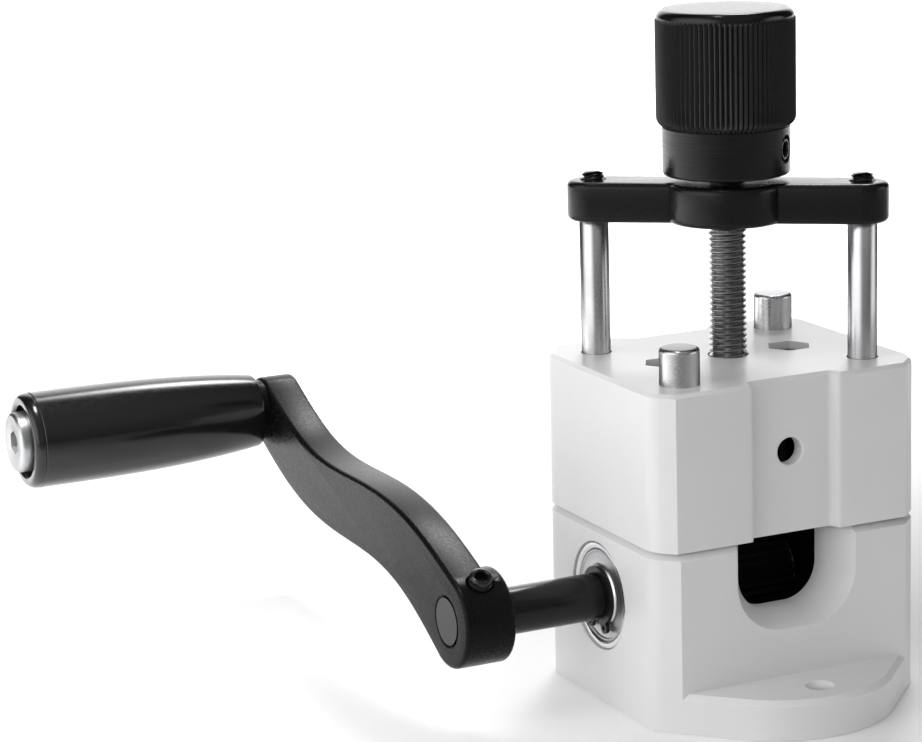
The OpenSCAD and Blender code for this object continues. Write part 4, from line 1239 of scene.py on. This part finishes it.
@dataclass
class Crank:
    """The S-bent crank with its set screw and the turning handle."""

    face: float = -81.1
    arm_t: float = 10.0
    hub_w: float = 13.7
    hub_r: float = 12.0
    tip_r: float = 9.0
    length: float = 125.0
    sway: float = 4.7
    turn: float = 13.4
    shaft_z: float = 27.7
    edge: float = 1.1
    boss_r: float = 8.3
    boss_h: float = 2.0
    bore_r: float = 6.05
    set_r: float = 3.0
    set_turn: float = 105.0
    set_top: float = 14.4
    grip_len: float = 67.5
    grip_near_r: float = 10.25
    grip_far_r: float = 13.2
    recess: float = 3.0
    recess_r: float = 9.75
    bolt_r: float = 4.0
    head_r: float = 8.25
    head_h: float = 5.6
    socket_r: float = 3.43

    def spot(self, u: float, v: float) -> Pair:
        """Gives a point of the crank's plan in the side plane.

        Args:
            u: Distance along the arm from the hub.
            v: Distance across it.

        Returns:
            The point's Y and Z.
        """
        t = math.radians(self.turn)
        return (u * math.cos(t) - v * math.sin(t), self.shaft_z + u * math.sin(t) + v * math.cos(t))

    def edge_points(self, side: int) -> list[Pair]:
        """Gives one long edge of the arm, from the hub to the tip."""
        points = []
        for i in range(41):
            t = i / 40
            half = self.tip_r + (self.hub_r - self.tip_r) * (1 - t) ** 3
            slope = math.atan(self.sway * 2 * math.pi * math.cos(2 * math.pi * t) / self.length)
            points.append((self.length * t - side * half * math.sin(slope),
                           self.sway * math.sin(2 * math.pi * t) + side * half * math.cos(slope)))
        return points

    def arm(self) -> bpy.types.Object:
        """Builds the arm with its hub and the boss under the handle."""
        near, far = self.edge_points(-1), self.edge_points(1)
        tip = math.degrees(math.atan2(near[-1][1], near[-1][0] - self.length))
        hub = math.degrees(math.atan2(far[0][1], far[0][0]))
        plan = near + arc((self.length, 0.0), self.tip_r, tip, tip + 180, 26)[1:-1] + far[::-1]
        plan += arc((0.0, 0.0), self.hub_r, hub, hub + 180, 34)[1:-1]
        body = Bench.prism("crank_casting", [self.spot(u, v) for u, v in plan], Plane.SIDE, self.face,
                           self.face + self.arm_t)
        self.soften_rims(body, (self.face, self.face + self.arm_t), self.edge)
        ring = arc(self.spot(0, 0), self.hub_r, 0, 360, 76)[:-1]
        hub_end = self.face + self.hub_w
        hub_back = Bench.prism("hub_back", ring, Plane.SIDE, self.face + self.edge + 0.5, hub_end)
        self.soften_rims(hub_back, (hub_end,), self.edge)
        boss = arc(self.spot(self.length, 0), self.boss_r, 0, 360, 64)[:-1]
        tip_boss = Bench.prism("tip_boss", boss, Plane.SIDE, self.face - self.boss_h, self.face + 2)
        self.soften_rims(tip_boss, (self.face - self.boss_h,), 0.5)
        Bench.cut(body, hub_back, tip_boss, how=Join.ADD)
        y, z = self.spot(self.length, 0)
        r = self.bore_r
        profile = [(0, -1), (r + 1.2, -1), (r + 0.75, 0), (r, 0.75), (r, 16), (0, 16)]
        bore = Bench.turn("bore", profile, 96, along_x(self.face, 0, self.shaft_z))
        bolt_hole = Bench.rod(self.bolt_r + 0.05, along_x(0, y, z), self.face - 4, self.face + self.arm_t + 1)
        Bench.cut(body, bore, bolt_hole, self.set_hole())
        return Bench.shade(body, 32.0)

    def soften_rims(self, body: bpy.types.Object, levels: tuple[float, ...], width: float) -> None:
        """Rounds the rims of a prism that lies along X.

        Args:
            body: The prism.
            levels: Where its rims lie along X.
            width: The rounding's width.
        """
        Bench.round_edges(body, [on_level(0, level) for level in levels], width, 5)

    def set_place(self) -> Matrix:
        """Gives the frame whose Z axis lies along the hub's set screw, outwards."""
        return (Matrix.Translation(mm(self.face + self.hub_w / 2, 0, self.shaft_z))
                @ Matrix.Rotation(math.radians(self.turn + self.set_turn - 90), 4, "X"))

    def set_hole(self) -> bpy.types.Object:
        """Makes the cutter of the set screw's hole, with a chamfered mouth."""
        r, far = self.set_r + 0.05, self.hub_r
        profile = [(0, 4), (r, 4), (r, far - 0.9), (r + 0.8, far), (r + 2, far + 1.2), (0, far + 1.2)]
        return Bench.turn("set_hole", profile, 48, self.set_place())

    def grip(self) -> bpy.types.Object:
        """Turns the handle's grip with its recess and rim."""
        r0, r1, length = self.grip_near_r, self.grip_far_r, self.grip_len
        rim = 2.9
        rows = [(self.bolt_r + 0.06, 0.0)] + arc((r0 - 0.8, 0.8), 0.8, -90, 0, 4)
        for i in range(1, 19):
            t = i / 19
            rows.append((r0 + (r1 - r0) * (1 - (1 - t) ** 3), 0.8 + (length - rim - 1.0) * t))
        rows += [(r1, length - rim - 0.15), (r1 - 0.22, length - rim + 0.08), (r1 - 0.22, length - rim + 0.2)]
        rows += [(r1 - 1.75 + 1.7 * math.cos(t), length - rim + 0.35 + (rim - 0.35) * math.sin(t))
                 for t in [math.radians(10 * i) for i in range(0, 10)]]
        rows += [(self.recess_r + 0.9 - 0.9 * math.sin(t), length - 0.9 + 0.9 * math.cos(t))
                 for t in [math.radians(15 * i) for i in range(0, 7)]]
        rows += [(self.recess_r, length - self.recess), (self.bolt_r + 0.06, length - self.recess),
                 (self.bolt_r + 0.06, 0.0)]
        y, z = self.spot(self.length, 0)
        body = Bench.turn("handle_shell", rows, 128, along_x(self.face - self.boss_h - 0.2, y, z, -1))
        return Bench.shade(body, 38.0)

    def bolt(self) -> bpy.types.Object:
        """Turns the handle's bolt and cuts its socket."""
        y, z = self.spot(self.length, 0)
        start = self.arm_t
        head = self.boss_h + 0.2 + self.grip_len - self.recess + 0.1
        r, h, end = self.bolt_r, self.head_r, head + self.head_h
        place = along_x(self.face, y, z, -1)
        rows = [(0, -start), (r - 0.4, -start), (r, 0.4 - start), (r, head), (h - 0.3, head), (h, head + 0.3)]
        rows += [(h, end - 1.1)] + arc((h - 1.1, end - 1.1), 1.1, 0, 90, 6)[1:]
        rows += [(self.socket_r + 1.0, end), (self.socket_r + 0.2, end - 0.35), (0, end - 0.35)]
        body = Bench.turn("handle_bolt_turned", rows, 96, place)
        Bench.cut(body, Bench.rod(self.socket_r, place, end - 2.8, end + 1, 6))
        return Bench.shade(body, 32.0)

    def build(self, finishes: Finishes) -> None:
        """Builds and dresses the crank, its screws and the grip."""
        plug = SetScrew("hub_plug", self.set_r, 6.2, self.set_top, neck=1.6).build(self.set_place())
        for item, node, body, finish, slot in (
                (self.arm(), "crank_arm", "crank", finishes.arm, "black_cast"),
                (plug, "crank_set_screw", "crank", finishes.gloss, "dark_steel"),
                (self.bolt(), "handle_bolt", "crank", finishes.zinc, "zinc_plated"),
                (self.grip(), "handle_grip", "grip", finishes.grip, "grip_plastic")):
            finishes.hand_over(item, node, body, finish)


@dataclass
class Bearings:
    """The shielded ball bearing on each side of the base block."""

    back: float = 30.1
    face: float = 38.1
    outer_r: float = 14.0
    outer_land: float = 12.05
    inner_land: float = 7.95
    bore_r: float = 6.03
    orbit: float = 10.0
    ball_r: float = 2.45
    shaft_z: float = 27.7

    def race(self, land: float, turned: int) -> list[Pair]:
        """Gives the ball race that is cut into a ring's land.

        Args:
            land: The land's radius.
            turned: 1 for the outer ring, -1 for the inner one.

        Returns:
            Its points, radius and place along the shaft.
        """
        middle = (self.back + self.face) / 2
        reach = math.degrees(math.acos(abs(land - self.orbit) / self.ball_r))
        start, end = (reach, -reach) if turned > 0 else (180 - reach, 180 + reach)
        return arc((self.orbit, middle), self.ball_r, start, end, 10)

    def outer(self) -> list[Pair]:
        """Gives the outer ring's section."""
        r, land, b, f = self.outer_r, self.outer_land, self.back, self.face
        points = [(land, b + 0.3), (land + 0.3, b), (r - 0.6, b), (r, b + 0.6)]
        points += arc((r - 0.75, f - 0.75), 0.75, 0, 90, 6)
        points += [(land + 0.55, f), (land + 0.3, f - 0.12), (land, f - 0.45)] + self.race(land, 1)
        return points + [points[0]]

    def inner(self) -> list[Pair]:
        """Gives the inner ring's section."""
        r, land, b, f = self.bore_r, self.inner_land, self.back, self.face
        points = [(r, b + 0.4), (r + 0.4, b), (land - 0.3, b), (land, b + 0.3)] + self.race(land, -1)[::-1]
        points += [(land, f - 0.35), (land - 0.35, f), (r + 0.5, f), (r, f - 0.5)]
        return points + [points[0]]

    def shields(self) -> list[Pair]:
        """Gives the outward shield's pressed section."""
        f, high, low = self.face, self.outer_land - 0.03, self.inner_land + 0.1
        front = [(high, f - 0.8), (high - 0.3, f - 0.42), (high - 0.75, f - 0.36), (high - 1.05, f - 0.66),
                 (high - 1.3, f - 0.72), (high - 3.2, f - 0.5), (low + 0.25, f - 0.48), (low, f - 0.62)]
        back = [(r, x - 0.3) for r, x in reversed(front)]
        return front + back + [front[0]]

    def flat_shield(self) -> list[Pair]:
        """Gives the inward shield's section."""
        high, low, b = self.outer_land - 0.03, self.inner_land + 0.1, self.back
        return [(low, b + 0.3), (high, b + 0.3), (high, b + 0.7), (low, b + 0.7), (low, b + 0.3)]

    def ring(self, name: str, section: list[Pair], place: Matrix) -> bpy.types.Object:
        """Turns one ring of a bearing."""
        return Bench.turn(name, section, 128, place)

    def build(self, finishes: Finishes) -> None:
        """Builds and dresses both bearings."""
        for side, way in (("left", -1), ("right", 1)):
            place = along_x(0, 0, self.shaft_z, way)
            shields = self.ring(f"{side}_pressed_shields", self.shields(), place)
            Bench.join(shields, self.ring("flat_shield", self.flat_shield(), place))
            outer = self.ring(f"{side}_outer_race", self.outer(), place)
            inner = self.ring(f"{side}_inner_race", self.inner(), place)
            for item, node, body, finish, slot in (
                    (outer, "outer_ring", "base", finishes.bearing, "bearing_steel"),
                    (inner, "inner_ring", "crank", finishes.bearing, "bearing_steel"),
                    (shields, "shields", "base", finishes.shield, "zinc_plated")):
                Bench.shade(item, 28.0)
                finishes.hand_over(item, f"{side}_bearing_{node}", body, finish)


@dataclass(frozen=True)
class Lobe:
    """A soft patch of light in the studio's surroundings."""

    towards: Point
    start: float
    full: float
    strength: float


@dataclass
class Studio:
    """The camera, the floor and the lights."""

    eye: Point = (-370.8, -636.9, 251.7)
    look: Point = (0.41048504, 0.88405163, -0.22350561)
    up: Point = (0.12131454, 0.18998381, 0.97426328)
    lens: float = 115.39
    # The floor's patch of painted shade: its centre, the distances over which it fades out, and the floor's
    # tone inside and outside it.
    shade: Point = (-300.0, -480.0, 0.0)
    shade_reach: Pair = (0.1, 0.53)
    floor_tones: Pair = (0.5, 0.95)
    lobes: tuple[Lobe, ...] = (
        Lobe((0, 0, 1), -1.0, -0.9, 0.03),
        Lobe((0.41, 0.88, 0.25), 0.8, 0.97, 2.2),
        Lobe((-1, -0.1, 0.1), 0.6, 0.97, 2.35),
        Lobe((0.86, -0.5, 0), 0.87, 0.98, 1.9),
        Lobe((-0.25, -0.6, 0.75), 0.3, 0.95, 0.4),
    )

    def camera(self) -> None:
        """Sets the camera at the photograph's viewpoint."""
        look, up = Vector(self.look).normalized(), Vector(self.up).normalized()
        right = look.cross(up).normalized()
        turn = Matrix((right, right.cross(look), -look)).transposed().to_4x4()
        data = bpy.data.cameras.new("studio_camera")
        data.lens = self.lens
        data.sensor_width = 36.0
        data.clip_start = 0.02
        item = bpy.data.objects.new("studio_camera", data)
        bpy.context.scene.collection.objects.link(item)
        item.matrix_world = Matrix.Translation(mm(*self.eye)) @ turn
        bpy.context.scene.camera = item

    def floor(self) -> None:
        """Lays a wide pale floor with a patch of painted shade below the camera, where the metal mirrors it.
        """
        Bench.fresh()
        bpy.ops.mesh.primitive_plane_add(size=14, location=(1.0, 2.5, -0.0002))
        item = bpy.context.object
        item.name = "floor"
        bpy.ops.object.transform_apply(location=True, rotation=True, scale=True)
        graph = Graph("pale_floor")
        # Painted shade: the floor greys towards a point below the camera.
        away = graph.add("ShaderNodeVectorMath", {"operation": "DISTANCE"}, i0=graph.place,
                         i1=mm(*self.shade))
        near, far, dark, pale = *self.shade_reach, *self.floor_tones
        tone = graph.add("ShaderNodeMapRange", {"interpolation_type": "SMOOTHSTEP"},
                         Value=away.outputs["Value"], From_Min=near, From_Max=far, To_Min=dark, To_Max=pale)
        graph.link(tone.outputs[0], "Base Color")
        graph.shader.inputs["Roughness"].default_value = 0.9
        graph.shader.inputs["Specular IOR Level"].default_value = 0.1
        item.data.materials.append(graph.material)

    def surroundings(self) -> None:
        """Lights the room from behind and from both sides, and dimly from everywhere else."""
        world = bpy.data.worlds.new("studio_world")
        world.use_nodes = True
        tree = world.node_tree
        way = tree.nodes.new("ShaderNodeTexCoord").outputs["Generated"]
        total = None
        for lobe in self.lobes:
            dot = tree.nodes.new("ShaderNodeVectorMath")
            dot.operation = "DOT_PRODUCT"
            tree.links.new(way, dot.inputs[0])
            dot.inputs[1].default_value = Vector(lobe.towards).normalized()
            ramp = tree.nodes.new("ShaderNodeMapRange")
            ramp.interpolation_type = "SMOOTHSTEP"
            tree.links.new(dot.outputs["Value"], ramp.inputs["Value"])
            limits = {"From Min": lobe.start, "From Max": lobe.full, "To Min": 0.0, "To Max": lobe.strength}
            for name, value in limits.items():
                ramp.inputs[name].default_value = value
            if total is None:
                total = ramp.outputs[0]
            else:
                both = tree.nodes.new("ShaderNodeMath")
                tree.links.new(total, both.inputs[0])
                tree.links.new(ramp.outputs[0], both.inputs[1])
                total = both.outputs[0]
        tree.nodes["Background"].inputs["Color"].default_value = (1, 1, 1, 1)
        tree.links.new(total, tree.nodes["Background"].inputs["Strength"])
        bpy.context.scene.world = world

    def lamp(self, name: str, place: Point, size: Pair, power: float, target: Point, spread: float,
             shadow: bool = True) -> None:
        """Hangs one soft box.

        Args:
            name: Its name.
            place: Where it hangs.
            size: Its width and height.
            power: Its power in watts.
            target: What it points at.
            spread: How wide its grid lets the light out, in degrees.
            shadow: Whether what it lights casts a shadow.
        """
        data = bpy.data.lights.new(name, "AREA")
        data.shape = "RECTANGLE"
        data.spread = math.radians(spread)
        data.size, data.size_y = size[0] * MM, size[1] * MM
        data.energy = power
        data.use_shadow = shadow
        item = bpy.data.objects.new(name, data)
        bpy.context.scene.collection.objects.link(item)
        item.location = mm(*place)
        item.rotation_euler = (mm(*target) - mm(*place)).to_track_quat("-Z", "Y").to_euler()
        item.visible_camera = False

    def build(self) -> None:
        """Sets up the whole studio."""
        self.camera()
        self.floor()
        self.surroundings()
        bpy.context.scene.view_settings.view_transform = "Standard"
        self.lamp("top_box", (390, 600, 1000), (600, 600), 0.05, (0, 50, 60), 45)
        self.lamp("grip_box", (280, 590, 1005), (500, 500), 0.24, (-215, -10, 95), 20)
        self.lamp("roof", (750, 2080, 2200), (5000, 3800), 80.0, (750, 2080, 0), 12)
        self.lamp("left_roof", (-900, 500, 1500), (1500, 1400), 8.5, (-900, 500, 0), 20, shadow=False)


def main() -> None:
    """Builds the machine piece by piece, then the studio round it."""
    logging.basicConfig(level=logging.INFO, format="%(message)s")
    finishes = Finishes()
    for assembly in (Blocks(), Guides(), Yoke(), Knob(), Crank(), Bearings()):
        assembly.build(finishes)
    plain = {
        "foot_screws": finishes.dark, "drive_shaft": finishes.shaft, "shaft_circlips": finishes.clip,
        "shaft_spacers": finishes.ground_x, "feed_roller": finishes.roller, "roller_key": finishes.dark,
        "blade_bracket": finishes.zinc, "bracket_bolts": finishes.dark, "bracket_nuts": finishes.zinc,
        "blade_axle": finishes.ground_x, "axle_circlips": finishes.clip, "blade_wheel": finishes.blade,
        "blade_hub": finishes.bronze, "blade_clamp_ring": finishes.bronze, "lift_washer": finishes.zinc,
        "lift_circlip": finishes.clip,
    }
    for side in ("left", "right"):
        plain[f"{side}_bearing_balls"] = finishes.bearing
        plain[f"{side}_bearing_cage"] = finishes.bronze
    for node, finish in plain.items():
        finishes.dress(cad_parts[node], finish)
    Studio().build()


if __name__ == "__main__":
    main()
